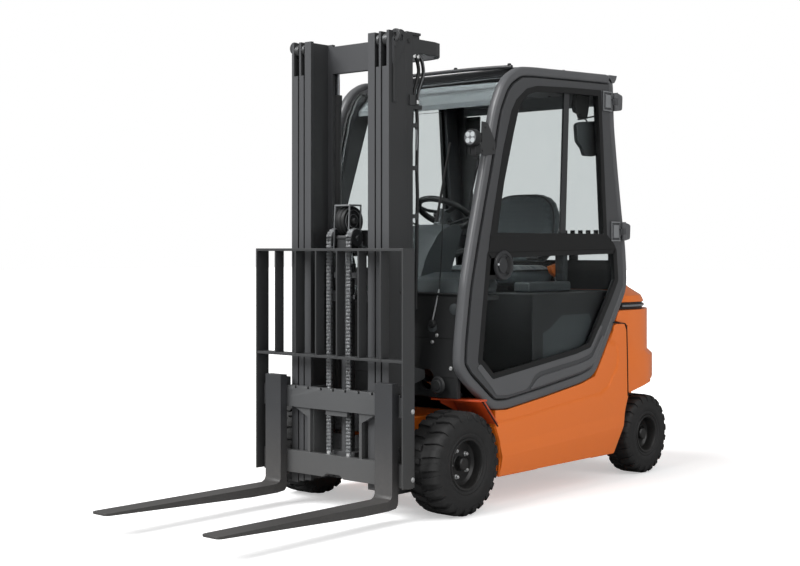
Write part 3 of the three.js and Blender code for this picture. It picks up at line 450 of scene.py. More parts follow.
def slab(outline, axis, low, high, inner=None):
    # a flat plate with that outline, given in the two other axes in order, and one hole of as many corners
    def lift(point, level):
        a, b = point
        return {"x": (level, a, b), "y": (a, level, b), "z": (a, b, level)}[axis]
    count = len(outline)
    points = [lift(p, low) for p in outline] + [lift(p, high) for p in outline]
    following = [(i, (i + 1) % count) for i in range(count)]
    faces = [[i, j, j + count, i + count] for i, j in following]
    if inner is None:
        return points, faces + [list(range(count))[::-1], list(range(count, 2 * count))]
    far = 2 * count
    points += [lift(p, low) for p in inner] + [lift(p, high) for p in inner]
    faces += [[far + j, far + i, far + i + count, far + j + count] for i, j in following]
    faces += [[j, i, far + i, far + j] for i, j in following]
    faces += [[i + count, j + count, far + j + count, far + i + count] for i, j in following]
    return points, faces


def block(x0, x1, y0, y1, z0, z1):
    return slab([(x0, y0), (x1, y0), (x1, y1), (x0, y1)], "z", z0, z1)


def lathe(profile, centre, axis="x", sides=48):
    # profile: closed loop of (along the axis, radius); a radius of 0 makes a pole
    points, faces = [], []
    for k in range(sides):
        c, s = math.cos(2 * math.pi * k / sides), math.sin(2 * math.pi * k / sides)
        for a, r in profile:
            offset = {"x": (a, r * c, r * s), "y": (r * c, a, r * s), "z": (r * c, r * s, a)}[axis]
            points.append(tuple(centre[i] + offset[i] for i in range(3)))
    count = len(profile)
    for k in range(sides):
        for i in range(count):
            here, there = k * count, ((k + 1) % sides) * count
            j = (i + 1) % count
            if profile[i][1] or profile[j][1]:
                faces.append([here + i, here + j, there + j, there + i])
    return points, faces


def smoothLine(points, steps=6, closed=False):
    # Catmull-Rom curve through the points
    points = [Vector(p) for p in points]
    count = len(points)
    line = []
    for i in range(count if closed else count - 1):
        around = [i + k for k in (-1, 0, 1, 2)]
        near = [points[k % count] if closed else points[min(max(k, 0), count - 1)] for k in around]
        for step in range(steps):
            t = step / steps
            line.append(0.5 * (2 * near[1] + (near[2] - near[0]) * t
                               + (2 * near[0] - 5 * near[1] + 4 * near[2] - near[3]) * t ** 2
                               + (3 * near[1] - near[0] - 3 * near[2] + near[3]) * t ** 3))
    return line if closed else line + [points[-1]]


def roundCorners(corners, radius, steps=4):
    # a closed 2-D outline with its corners turned to arcs
    line = []
    count = len(corners)
    for i, corner in enumerate(corners):
        here = Vector(corner)
        back, ahead = Vector(corners[i - 1]) - here, Vector(corners[(i + 1) % count]) - here
        cut = min(radius, back.length * 0.45, ahead.length * 0.45)
        start, end = here + back.normalized() * cut, here + ahead.normalized() * cut
        for k in range(steps + 1):
            t = k / steps
            line.append(tuple(start * (1 - t) ** 2 + here * 2 * t * (1 - t) + end * t ** 2))
    return line


def ring(radius, sides=12):
    return [(radius * math.cos(2 * math.pi * k / sides), radius * math.sin(2 * math.pi * k / sides))
            for k in range(sides)]


def sweep(line, section, closed=False, out=None):
    # section: closed loop of (across, outwards); out is the outward way, or None to carry it along the line
    line = [Vector(p) for p in line]
    count, width = len(line), len(section)
    points, faces = [], []
    carried = None
    for i, here in enumerate(line):
        before = line[i - 1] if (closed or i) else here
        after = line[(i + 1) % count] if (closed or i < count - 1) else here
        into, away = (here - before), (after - here)
        into = into.normalized() if into.length > 1e-9 else away.normalized()
        away = away.normalized() if away.length > 1e-9 else into
        along = (into + away).normalized()
        stretch = 1 / max(along.dot(into), 0.5)
        if out is not None:
            normal = Vector(out)
        else:
            if carried is None:
                carried = along.orthogonal().normalized()
            carried = (carried - along * carried.dot(along)).normalized()
            normal = carried
        across = along.cross(normal).normalized()
        points += [tuple(here + across * a * stretch + normal * b) for a, b in section]
    for i in range(count if closed else count - 1):
        here, there = i * width, ((i + 1) % count) * width
        for k in range(width):
            j = (k + 1) % width
            faces.append([here + k, here + j, there + j, there + k])
    if not closed:
        faces += [list(range(width))[::-1], [(count - 1) * width + k for k in range(width)]]
    return points, faces


def tube(points, radius, steps=6, sides=10):
    return sweep(smoothLine(points, steps), ring(radius, sides))


def inset(outline, depth):
    # outline is counter-clockwise; a positive depth moves it inwards
    moved = []
    count = len(outline)
    for i in range(count):
        back, here, ahead = Vector(outline[i - 1]), Vector(outline[i]), Vector(outline[(i + 1) % count])
        first, second = (here - back).normalized(), (ahead - here).normalized()
        normal = (Vector((-first.y, first.x)) + Vector((-second.y, second.x))).normalized()
        reach = depth / max(normal.dot(Vector((-first.y, first.x))), 0.5)
        moved.append(tuple(here + normal * reach))
    return moved


def counterClockwise(outline):
    area = sum(a[0] * b[1] - b[0] * a[1] for a, b in zip(outline, outline[1:] + outline[:1]))
    return outline if area > 0 else outline[::-1]


def meshOf(name, shape, kind, smoothAngle=35):
    mesh = bpy.data.meshes.new(name)
    mesh.from_pydata([spot(*p) for p in shape[0]], [], shape[1])
    made = bmesh.new()
    made.from_mesh(mesh)
    bmesh.ops.remove_doubles(made, verts=made.verts, dist=0.01 * mm)
    bmesh.ops.dissolve_degenerate(made, edges=made.edges, dist=0.01 * mm)
    bmesh.ops.recalc_face_normals(made, faces=made.faces)
    made.to_mesh(mesh)
    made.free()
    mesh.shade_smooth()
    mesh.set_sharp_from_angle(angle=math.radians(smoothAngle))
    mesh.materials.append(finish[kind])
    return mesh


def addObject(name, mesh):
    made = bpy.data.objects.new(name, mesh)
    bpy.context.scene.collection.objects.link(made)
    return made


def roundEdges(made, bevel, segments, angle):
    rounded = made.modifiers.new("edges", "BEVEL")
    rounded.width = bevel * mm
    rounded.segments = segments
    rounded.limit_method = "ANGLE"
    rounded.angle_limit = math.radians(angle)
    rounded.harden_normals = True


def addPiece(name, body, kind, shape, slot=None, bevel=0, segments=2, smoothAngle=35):
    made = addObject(name, meshOf(name, shape, kind, smoothAngle))
    if bevel:
        roundEdges(made, bevel, segments, smoothAngle)
    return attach(made, body)


def addPair(name, body, kind, shape, node=None, **more):
    # body holds {} where it differs from side to side; node is what the pair replaces
    left = addPiece(f"{name}_left", body.format("left"), kind, shape, **more)
    right = addPiece(f"{name}_right", body.format("right"), kind, flipX(shape), **more)
    if node:
        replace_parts(left, f"{node}_left")
        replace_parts(right, f"{node}_right")


def refine(node, kind, bevel, segments=2, angle=32):
    # the same solid as the frame's, with real rounded edges
    source = nodes[node]
    mesh = source.data.copy()
    mesh.name = f"{node}_body"
    made = bmesh.new()
    made.from_mesh(mesh)
    bmesh.ops.remove_doubles(made, verts=made.verts, dist=0.02 * mm)
    bmesh.ops.dissolve_limit(made, angle_limit=math.radians(0.6), verts=made.verts, edges=made.edges)
    bmesh.ops.recalc_face_normals(made, faces=made.faces)
    made.to_mesh(mesh)
    made.free()
    mesh.shade_smooth()
    mesh.set_sharp_from_angle(angle=math.radians(angle))
    mesh.materials.clear()
    mesh.materials.append(finish[kind])
    copy = addObject(f"{node}_body", mesh)
    roundEdges(copy, bevel, segments, angle)
    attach(copy, source["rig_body"])
    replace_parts(copy, node)
    return copy


# trees for what repeats
def startTree(name, sockets):
    tree = bpy.data.node_groups.new(name, "GeometryNodeTree")
    tree.interface.new_socket("Geometry", in_out="OUTPUT", socket_type="NodeSocketGeometry")
    tree.interface.new_socket("Geometry", in_out="INPUT", socket_type="NodeSocketGeometry")
    for label, kind in sockets:
        tree.interface.new_socket(label, in_out="INPUT", socket_type=f"NodeSocket{kind}")
    return tree, tree.nodes.new("NodeGroupInput").outputs


def endTree(tree, instances, material):
    real = addNode(tree, "GeometryNodeRealizeInstances", None, {"Geometry": instances})
    painted = addNode(tree, "GeometryNodeSetMaterial", None,
                      {"Geometry": real.outputs[0], "Material": material})
    out = tree.nodes.new("NodeGroupOutput")
    tree.links.new(painted.outputs[0], out.inputs[0])
    return tree


def roundAxleTree():
    # copies of the input turned about the X axis through the origin, then moved to the axle
    tree, given = startTree("copiesRoundAxle", (
        ("Count", "Int"), ("First Angle", "Float"), ("Centre", "Vector"), ("Finish", "Material")))
    index = addNode(tree, "GeometryNodeInputIndex")
    share = addNode(tree, "ShaderNodeMath", {"operation": "DIVIDE"}, {0: index.outputs[0], 1: given["Count"]})
    angle = addNode(tree, "ShaderNodeMath", {"operation": "MULTIPLY_ADD"},
                    {0: share.outputs[0], 1: 2 * math.pi, 2: given["First Angle"]})
    turn = addNode(tree, "ShaderNodeCombineXYZ", None, {"X": angle.outputs[0]})
    row = addNode(tree, "GeometryNodeMeshLine", None, {"Count": given["Count"], "Offset": (0, 0, 0)})
    copies = addNode(tree, "GeometryNodeInstanceOnPoints", None,
                     {"Points": row.outputs[0], "Instance": given["Geometry"], "Rotation": turn.outputs[0]})
    moved = addNode(tree, "GeometryNodeTransform", None,
                    {"Geometry": copies.outputs[0], "Translation": given["Centre"]})
    return endTree(tree, moved.outputs[0], given["Finish"])


def boltTree():
    # a hexagon bolt with its washer on every point, standing along the point's facing
    tree, given = startTree("hexBolts", (
        ("Across", "Float"), ("Head", "Float"), ("Washer", "Float"), ("Finish", "Material")))
    facing = addNode(tree, "GeometryNodeInputNamedAttribute", {"data_type": "FLOAT_VECTOR"},
                     {"Name": "facing"})
    turn = addNode(tree, "FunctionNodeAlignRotationToVector", {"axis": "Z"}, {"Vector": facing.outputs[0]})
    head = addNode(tree, "GeometryNodeMeshCylinder", None,
                   {"Vertices": 6, "Radius": given["Across"], "Depth": given["Head"]})
    washer = addNode(tree, "GeometryNodeMeshCylinder", None,
                     {"Vertices": 16, "Radius": given["Washer"], "Depth": 2 * mm})
    dome = addNode(tree, "GeometryNodeMeshCylinder", None,
                   {"Vertices": 12, "Radius": given["Across"], "Depth": 1.2 * mm})
    rise = addNode(tree, "ShaderNodeMath", {"operation": "DIVIDE"}, {0: given["Head"], 1: 2.0})
    lift = addNode(tree, "ShaderNodeCombineXYZ", None, {"Z": rise.outputs[0]})
    top = addNode(tree, "GeometryNodeTransform", None,
                  {"Geometry": dome.outputs[0], "Translation": lift.outputs[0], "Scale": (0.8, 0.8, 1)})
    whole = addNode(tree, "GeometryNodeJoinGeometry")
    for part in (head, washer, top):
        tree.links.new(part.outputs[0], whole.inputs[0])
    copies = addNode(tree, "GeometryNodeInstanceOnPoints", None,
                     {"Points": given["Geometry"], "Instance": whole.outputs[0], "Rotation": turn.outputs[0]})
    return endTree(tree, copies.outputs[0], given["Finish"])


def rowTree():
    # copies of the input in a straight row
    tree, given = startTree("copiesInRow", (("Count", "Int"), ("Step", "Vector"), ("Finish", "Material")))
    row = addNode(tree, "GeometryNodeMeshLine", None, {"Count": given["Count"], "Offset": given["Step"]})
    copies = addNode(tree, "GeometryNodeInstanceOnPoints", None,
                     {"Points": row.outputs[0], "Instance": given["Geometry"]})
    return endTree(tree, copies.outputs[0], given["Finish"])


def chainTree():
    # one link on every point, standing along the way the point carries
    tree, given = startTree("leafChain", (("Link", "Object"), ("Finish", "Material")))
    facing = addNode(tree, "GeometryNodeInputNamedAttribute", {"data_type": "FLOAT_VECTOR"},
                     {"Name": "facing"})
    turn = addNode(tree, "FunctionNodeAlignRotationToVector", {"axis": "Z", "pivot_axis": "X"},
                   {"Vector": facing.outputs[0]})
    link = addNode(tree, "GeometryNodeObjectInfo", None, {"Object": given["Link"]})
    copies = addNode(tree, "GeometryNodeInstanceOnPoints", None,
                     {"Points": given["Geometry"], "Instance": link.outputs["Geometry"],
                      "Rotation": turn.outputs[0]})
    return endTree(tree, copies.outputs[0], given["Finish"])


trees = {"roundAxle": roundAxleTree(), "bolts": boltTree(), "row": rowTree(), "chain": chainTree()}


def grow(name, body, seed, tree, values, kind, smoothAngle=35):
    # runs one tree on the seed mesh and keeps the result as a plain mesh
    worker = addObject(f"{name}_seed", seed)
    change = worker.modifiers.new("grow", "NODES")
    change.node_group = trees[tree]
    for socket in trees[tree].interface.items_tree:
        if socket.in_out == "INPUT" and socket.name in values:
            change[socket.identifier] = values[socket.name]
        elif socket.in_out == "INPUT" and socket.name == "Finish":
            change[socket.identifier] = finish[kind]
    bpy.context.view_layer.update()
    seen = worker.evaluated_get(bpy.context.evaluated_depsgraph_get())
    mesh = bpy.data.meshes.new_from_object(seen)
    mesh.name = name
    mesh.shade_smooth()
    mesh.set_sharp_from_angle(angle=math.radians(smoothAngle))
    bpy.data.objects.remove(worker)
    made = addObject(name, mesh)
    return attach(made, body) if body else made


def seedMesh(shape, origin=None):
    # a mesh about the world origin when origin is given, else in its place
    mesh = bpy.data.meshes.new("seed")
    if origin is None:
        mesh.from_pydata([spot(*p) for p in shape[0]], [], shape[1])
    else:
        mesh.from_pydata([(Vector(p) - Vector(origin)) * mm for p in shape[0]], [], shape[1])
    made = bmesh.new()
    made.from_mesh(mesh)
    bmesh.ops.remove_doubles(made, verts=made.verts, dist=0.01 * mm)
    bmesh.ops.recalc_face_normals(made, faces=made.faces)
    made.to_mesh(mesh)
    made.free()
    return mesh


def boltsAt(name, body, places, across=9, head=6, washer=11, kind="zincPlate"):
    # places: list of (point in millimetres, way the head faces)
    mesh = bpy.data.meshes.new("boltPlaces")
    mesh.from_pydata([spot(*p) for p, way in places], [], [])
    facing = mesh.attributes.new("facing", "FLOAT_VECTOR", "POINT")
    facing.data.foreach_set("vector", [c for p, way in places for c in way])
    return grow(name, body, mesh, "bolts",
                {"Across": across * mm, "Head": head * 2 * mm, "Washer": washer * mm}, kind)


# wheels
tyres = {
    "front": {"x": 433, "y": 0, "r": 228.5, "half": 90, "rim": 112, "lugs": 24, "lugDepth": 13, "nuts": 5,
              "nutCircle": 60, "disc": 28, "nutKind": "zincPlate", "nutSize": 8},
    "rear": {"x": 413, "y": 1541, "r": 204.5, "half": 75, "rim": 94, "lugs": 22, "lugDepth": 11, "nuts": 5,
             "nutCircle": 52, "disc": 10, "nutKind": "cylinderEnamel", "nutSize": 7},
}


def tyreShape(t):
    # solid tyre: two shallow rings on each sidewall, and a base under the tread
    r, w, base = t["r"], t["half"], t["r"] - t["lugDepth"]
    span = base - t["rim"]
    half = [
        (w - 12, t["rim"]), (w - 7, t["rim"] + 4), (w - 3, t["rim"] + 0.16 * span),
        (w - 5, t["rim"] + 0.22 * span), (w - 1, t["rim"] + 0.30 * span), (w, t["rim"] + 0.50 * span),
        (w - 1.5, t["rim"] + 0.58 * span),
        (w - 1, t["rim"] + 0.64 * span), (w - 3, t["rim"] + 0.8 * span), (w - 8, base - 7), (w - 18, base),
        (w * 0.35, base + 1),
    ]
    return half + [(-a, b) for a, b in reversed(half)]


def lugShape(t):
    # one tread block: from the middle of the tread, round the shoulder and a little way down the sidewall
    r, w, d = t["r"], t["half"], t["lugDepth"]
    outer = [(5, r), (w * 0.55, r), (w * 0.82, r - 3), (w - 6, r - 10), (w - 0.5, r - 24), (w + 0.2, r - 36)]
    under = [(5, r - d - 3), (w * 0.55, r - d - 3), (w * 0.78, r - d - 5), (w - 14, r - d - 10),
             (w - 8, r - d - 18), (w - 8, r - 40)]
    skew = [0.0, 0.035, 0.055, 0.06, 0.06, 0.06]
    wide = [0.062, 0.066, 0.076, 0.082, 0.082, 0.074]
    points, faces = [], []
    for (ax, ar), (bx, br), s, h in zip(outer, under, skew, wide):
        for x, radius, side in ((ax, ar, -0.86), (ax, ar, 0.86), (bx, br, 1), (bx, br, -1)):
            a = s + side * h
            points.append((x, radius * math.sin(a), radius * math.cos(a)))
    for i in range(len(outer) - 1):
        for k in range(4):
            j = (k + 1) % 4
            faces.append([4 * i + k, 4 * i + j, 4 * i + 4 + j, 4 * i + 4 + k])
    last = 4 * (len(outer) - 1)
    faces += [[3, 2, 1, 0], [last, last + 1, last + 2, last + 3]]
    return points, faces


def rimShape(t):
    # pressed rim: bead lip, deep barrel and dished disc with its hub
    w, rim, d = t["half"], t["rim"], t["disc"]
    return [
        (w - 13, rim), (w - 7, rim + 3), (w - 4, rim + 1), (w - 6, rim - 7), (w - 14, rim - 12),
        (d + 14, rim - 15), (d + 3, rim - 24), (d, rim * 0.62), (d + 4, rim * 0.40), (d + 4, 34), (d + 6, 31),
        (d + 34, 29), (d + 39, 24), (d + 39, 0), (d - 14, 0), (d - 14, rim - 22), (14 - w, rim - 12),
        (6 - w, rim - 6), (8 - w, rim + 2), (13 - w, rim),
    ]


def makeWheel(name, t, side):
    body = f"{name}_wheel_{side}"
    sign = 1 if side == "left" else -1
    centre = (sign * t["x"], t["y"], t["r"])
    middle = spot(*centre)
    tyre = lathe([(sign * a, r) for a, r in tyreShape(t)], centre, sides=72)
    piece = addPiece(f"{name}_tyre_{side}", body, "tyreRubber", tyre, slot="tyre_rubber")
    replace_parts(piece, body)
    lug = lugShape(t)
    # the far side's lugs stand half a pitch round from the near side's
    half = math.pi / t["lugs"]
    c, s = math.cos(half), math.sin(half)
    other = [(-x, y * c + z * s, z * c - y * s) for x, y, z in lug[0]]
    seed = seedMesh(merge(lug, (other, lug[1])), (0, 0, 0))
    grow(f"{name}_tread_{side}", body, seed, "roundAxle",
         {"Count": t["lugs"], "First Angle": 0.0, "Centre": tuple(middle)}, "tyreRubber", 40)
    rim = lathe([(sign * a, r) for a, r in rimShape(t)], centre, sides=56)
    addPiece(f"{name}_rim_{side}", body, "cylinderEnamel", rim, smoothAngle=28)
    d, n, onCircle = t["disc"], t["nutSize"], (0, 0, t["nutCircle"])
    hexagon = [(d - 2, 0), (d - 2, n + 3), (d + 5, n + 3), (d + 5, n), (d + 15, n), (d + 15, 0)]
    stud = [(d + 14, 0), (d + 14, 4), (d + 19, 4), (d + 19, 0)]
    nut = merge(lathe(hexagon, onCircle, sides=6), lathe(stud, onCircle, sides=8))
    if sign < 0:
        nut = flipX(nut)
    grow(f"{name}_nuts_{side}", body, seedMesh(nut, (0, 0, 0)), "roundAxle",
         {"Count": t["nuts"], "First Angle": 0.35, "Centre": tuple(middle)}, t["nutKind"])


for side in ("left", "right"):
    makeWheel("front", tyres["front"], side)
    makeWheel("rear", tyres["rear"], side)
print("wheels are made")


def carve(piece, *cutters):
    # takes the cutters' shapes out of a piece's mesh
    helpers = []
    for shape in cutters:
        tool = addObject("cutter", seedMesh(shape))
        taken = piece.modifiers.new("cut", "BOOLEAN")
        taken.operation = "DIFFERENCE"
        taken.object = tool
        taken.solver = "EXACT"
        piece.modifiers.move(len(piece.modifiers) - 1, len(helpers))
        helpers.append(tool)
    kept = [m for m in piece.modifiers if m.type != "BOOLEAN"]
    for m in kept:
        m.show_viewport = False
    bpy.context.view_layer.update()
    piece.data = bpy.data.meshes.new_from_object(piece.evaluated_get(bpy.context.evaluated_depsgraph_get()))
    for m in list(piece.modifiers):
        if m.type == "BOOLEAN":
            piece.modifiers.remove(m)
        else:
            m.show_viewport = True
    for tool in helpers:
        bpy.data.objects.remove(tool)
    piece.data.shade_smooth()
    piece.data.set_sharp_from_angle(angle=math.radians(32))


# solids with real edges
edges = {
    "counterweight": ("orangeEnamel", 16, 3, "orange_paint"),
    "counterweight_cap": ("orangeEnamel", 12, 3, "orange_paint"),
    "counterweight_trim": ("mouldedBlack", 3, 2, None), "roof": ("blackCabEnamel", 7, 2, None),
    "carriage": ("carriageEnamel", 2.5, 2, "mast_paint"), "load_backrest": ("mastEnamel", 2, 2, None),
    "middle_mast": ("railEnamel", 2.5, 2, None), "inner_mast": ("railEnamel", 2.5, 2, None),
    "drive_axle": ("charcoalEnamel", 5, 2, None), "steer_axle": ("charcoalEnamel", 5, 2, None),
    "front_cowl": ("mouldedBlack", 4, 2, None), "seat_deck": ("mouldedBlack", 6, 2, None),
    "battery_block": ("batteryCase", 8, 2, None), "steering_column": ("mouldedGrey", 10, 3, None),
    "outer_mast": ("railEnamel", 2.5, 2, "mast_paint"),
}
for side in ("left", "right"):
    edges.update({
        f"door_frame_{side}": ("doorEnamel", 3, 2, None),
        f"front_fender_{side}": ("redOrangeEnamel", 2, 2, None), f"fork_{side}": ("forkEnamel", 4, 2, None),
        f"steer_knuckle_{side}": ("charcoalEnamel", 4, 2, None),
        f"tilt_barrel_{side}": ("cylinderEnamel", 2, 2, None),
    })
solids = {node: refine(node, kind, bevel, count)
          for node, (kind, bevel, count, slot) in edges.items()}
print("rounded", len(solids), "solids")

# bodywork
cabLine = [
    (1192, 2036), (515, 2010), (403, 2001), (321, 1957), (274, 1912), (213, 1803), (153, 1577), (58, 1238),
    (-2, 1005), (-39, 754), (-45, 648), (9, 585), (195, 445), (297, 439), (583, 471), (902, 512), (1023, 541),
    (1105, 649), (1232, 834), (1325, 967), (1318, 1088), (1307, 1192), (1281, 1316), (1238, 1561),
    (1204, 1782),
]
ringLine = roundCorners([(y, z) for y, z in counterClockwise(cabLine)], 60, 4)
ringLine = inset(ringLine, 23)
ringSection = roundCorners([(-23, -22.5), (23, -22.5), (23, 22.5), (-23, 22.5)], 17, 4)
ring3d = sweep([(480.5, y, z) for y, z in ringLine], ringSection, closed=True, out=(1, 0, 0))
addPair("cab_ring", "chassis", "greyCabEnamel", ring3d, "cab_side", slot="cab_paint")
railEnd = slab([(1140, 1990), (1170, 1988), (1200, 1996), (1214, 2012), (1224, 2034), (1150, 2032)],
               "x", 458, 503)
addPair("cab_rail_end", "chassis", "greyCabEnamel", railEnd, bevel=3)
hinges = ((1175, 1898), (1249, 1253))
hingeLean = math.atan2(hinges[1][0] - hinges[0][0], hinges[0][1] - hinges[1][1])
brackets = []
for hy, hz in hinges:
    base = roundCorners([(hy + 14, hz - 45), (hy + 56, hz - 38), (hy + 60, hz + 34), (hy + 14, hz + 45)],
                        12, 3)
    brackets.append(slab(base, "x", 497, 528))
    for z0, z1 in ((-45, -15.4), (15.4, 45)):
        barrel = lathe([(z0, 0), (z0, 13), (z1, 13), (z1, 0)], (524, hy, hz), "z", 20)
        brackets.append(tilt(merge(barrel, block(500, 524, hy + 2, hy + 30, hz + z0, hz + z1)),
                             hingeLean, hy, hz))
addPair("hinge_brackets", "chassis", "greyCabEnamel", merge(*brackets), bevel=1.5)
cover = {
    "face": 509, "strip": 502.5, "crease": 516, "foot": 506, "back": 500, "gap": 4, "low": 146,
    "columns": 120,
    "rows": 64, "soft": 6, "rearTop": 789,
    "start": 218, "reach": 1102,
    "relief": [(180, 388), (327, 391), (436, 399), (723, 426), (968, 447), (1063, 452), (1135, 480),
               (1176, 528),
               (1217, 574), (1229, 636), (1217, 682), (1135, 708)],
    "front": [(143, 238), (190, 249), (228, 252), (300, 243), (365, 214), (400, 218), (900, 218)],
    "rear": [(143, 1186), (282, 1268), (422, 1311), (629, 1305), (757, 1299), (788, 1280), (900, 1240)],
}


def readOff(table, value):
    for (a, b), (c, d) in zip(table, table[1:]):
        if value <= c:
            return b + (d - b) * (max(value, a) - a) / (c - a)
    return table[-1][1]


def coverTop(y):
    under = [(195, 445), (297, 439), (583, 471), (902, 512), (1023, 541), (1105, 649), (1232, 834),
             (1330, 970)]
    return min(readOff(under, y) - cover["gap"], cover["rearTop"])


def coverDepth(y, z):
    nearest, side = 1e9, 1
    for (a, b), (c, d) in zip(cover["relief"], cover["relief"][1:]):
        run = (c - a) ** 2 + (d - b) ** 2
        t = min(max(((y - a) * (c - a) + (z - b) * (d - b)) / run, 0), 1)
        far = math.hypot(y - a - t * (c - a), z - b - t * (d - b))
        if far < nearest - 1e-6:
            nearest, side = far, (c - a) * (z - b) - (d - b) * (y - a)
    reach = nearest if side > 0 else -nearest
    blend = min(max((reach + cover["soft"]) / (2 * cover["soft"]), 0), 1)
    blend = blend * blend * (3 - 2 * blend)
    depth = cover["face"] + (cover["strip"] - cover["face"]) * blend
    share = (y - 254) / 1023
    high, low = 283 + 53 * share, 231 + 42 * share
    if z < low:
        return cover["crease"] + (cover["foot"] - cover["crease"]) * (low - z) / max(low - cover["low"], 1)
    if z < high:
        return depth + (cover["crease"] - depth) * (high - z) / (high - low)
    return depth


def coverShape():
    points, faces = [], []
    columns, rows = cover["columns"], cover["rows"]
    for i in range(columns + 1):
        for j in range(rows + 1):
            y = cover["start"] + cover["reach"] * i / columns
            # the top edge and both ends depend on each other, so the point settles in three passes
            for settle in range(3):
                top = coverTop(y)
                z = cover["low"] + (top - cover["low"]) * j / rows
                ahead, behind = readOff(cover["front"], z), readOff(cover["rear"], z)
                y = ahead + (behind - ahead) * i / columns
            points.append((coverDepth(y, z), y, z))
    count = len(points)
    points += [(cover["back"], y, z) for x, y, z in points]
    high = rows + 1
    for i in range(columns):
        for j in range(rows):
            a = i * high + j
            faces.append([a, a + high, a + high + 1, a + 1])
            faces.append([a + count, a + count + 1, a + count + high + 1, a + count + high])
    rim = [j for j in range(rows + 1)] + [i * high + rows for i in range(1, columns + 1)]
    rim += [columns * high + j for j in range(rows - 1, -1, -1)] + [i * high
                                                                    for i in range(columns - 1, 0, -1)]
    faces += [[a, b, b + count, a + count] for a, b in zip(rim, rim[1:] + rim[:1])]
    return points, faces


addPair("side_cover", "chassis", "orangeEnamel", coverShape(), slot="orange_paint", smoothAngle=24)
# a thin black strip along the gap between the side cover and the counterweight: painted shade for the shadow
# in that seam
seamShadeLine = [(1180, 797), (1212, 795), (1272, 790), (1286, 788), (1299, 776), (1303, 757), (1308, 629),
             (1314, 422)]
seamShade = sweep([(508.5, y, z) for y, z in seamShadeLine], [(-2.5, -3), (2.5, -3), (2.5, 3), (-2.5, 3)],
              out=(1, 0, 0))
addPair("cover_joint", "chassis", "gasketRubber", seamShade)
print("side covers are made")

# doors
lowerPane = [(155, 1150), (88, 667), (190, 582), (852, 658), (977, 682), (1150, 906), (1222, 1008),
             (1204, 1168)]
door = {"face": 507, "gasketRise": 2.5, "plateRise": 3, "latchY": 268, "latchZ": 1092, "latchR": 64}


def frameRound(outline, inner, outer, low, high, radius=14):
    # a flat ring that follows the window's edge, from inner to outer millimetres past it
    loop = roundCorners(counterClockwise(outline), radius)
    return slab(inset(loop, -outer), "x", low, high, inset(loop, -inner))


window = {
    "glass": [(222, 1238), (245, 1343), (273, 1465), (321, 1616), (375, 1788), (409, 1837), (459, 1876),
              (529, 1895),
              (766, 1909), (1040, 1917), (1090, 1240)],
    "edge": [(170, 1212), (194, 1318), (228, 1452), (269, 1614), (331, 1790), (370, 1846), (449, 1902),
             (529, 1922),
             (780, 1936), (1066, 1948), (1122, 1216)],
}
glassLine, edgeLine = counterClockwise(window["glass"]), counterClockwise(window["edge"])
opening = slab(inset(edgeLine, 8), "x", 470, 530)
carve(solids["door_frame_left"], opening)
carve(solids["door_frame_right"], flipX(opening))
pane = slab(inset(glassLine, -12), "x", 488, 493)
addPair("door_pane", "door_{}", "cabGlass", pane, "door_glass_upper", slot="window_glass")
face, plateTop = door["face"], door["face"] + door["plateRise"]
rail = slab([(160, 1150), (1200, 1166), (1182, 1192), (1112, 1240), (172, 1226)], "x", face - 4, face + 4)
gaskets = merge(slab(edgeLine, "x", face - 16, face + door["gasketRise"], glassLine), rail,
                frameRound(lowerPane, -26, 5, face - 12, face + 1))
divider = slab([(767, 1913), (809, 1916), (777, 1239), (735, 1239)], "x", 484, 498)
addPair("door_divider", "door_{}", "blackCabEnamel", divider, bevel=2)
addPair("door_gaskets", "door_{}", "gasketRubber", gaskets, bevel=2)
lowBand = [
    (78, 640), (190, 540), (214, 512), (300, 505), (440, 520), (470, 540), (506, 580), (552, 596), (880, 634),
    (962, 652), (985, 664), (1080, 785), (1062, 790), (975, 684), (850, 660), (190, 584), (100, 660)]
addPair("kick_panel", "door_{}", "greyCabEnamel",
        slab(roundCorners(lowBand, 10, 2), "x", face - 4, plateTop), bevel=1.5)
sill = [(470, 519), (600, 534), (900, 574), (985, 597), (1015, 622), (1092, 726), (1078, 742), (990, 640),
        (960, 628), (880, 612), (560, 574), (525, 562), (492, 536)]
addPair("kick_sill", "door_{}", "greyCabEnamel",
        slab(roundCorners(sill, 10, 2), "x", face - 4, plateTop + 2), bevel=2)
y, z, r = door["latchY"], door["latchZ"], door["latchR"]
backPlate = slab([(136, 1030), (300, 1030), (345, 1062), (345, 1160), (150, 1160)], "x", 493, 505)
addPair("latch_plate", "door_{}", "gasketRubber", backPlate, bevel=1)
cupLip = [(492, 0), (492, r + 3), (511, r + 3), (516, r), (517, r - 6), (515, r - 13), (511, r - 14),
          (511, 0)]
cupBack = [(450, 0), (450, r - 14), (455, r - 8), (483, r - 4), (483, 0)]
cup = merge(lathe(cupLip, (0, y, z), sides=48), lathe(cupBack, (0, y, z), sides=48))
addPair("latch_cup", "door_{}", "blackCabEnamel", cup)
paddle = lathe([(508, 0), (508, 38), (514, 38), (517, 35), (518, 0)], (0, y - 4, z), sides=36)
addPair("latch_paddle", "door_{}", "blackCabEnamel", paddle)
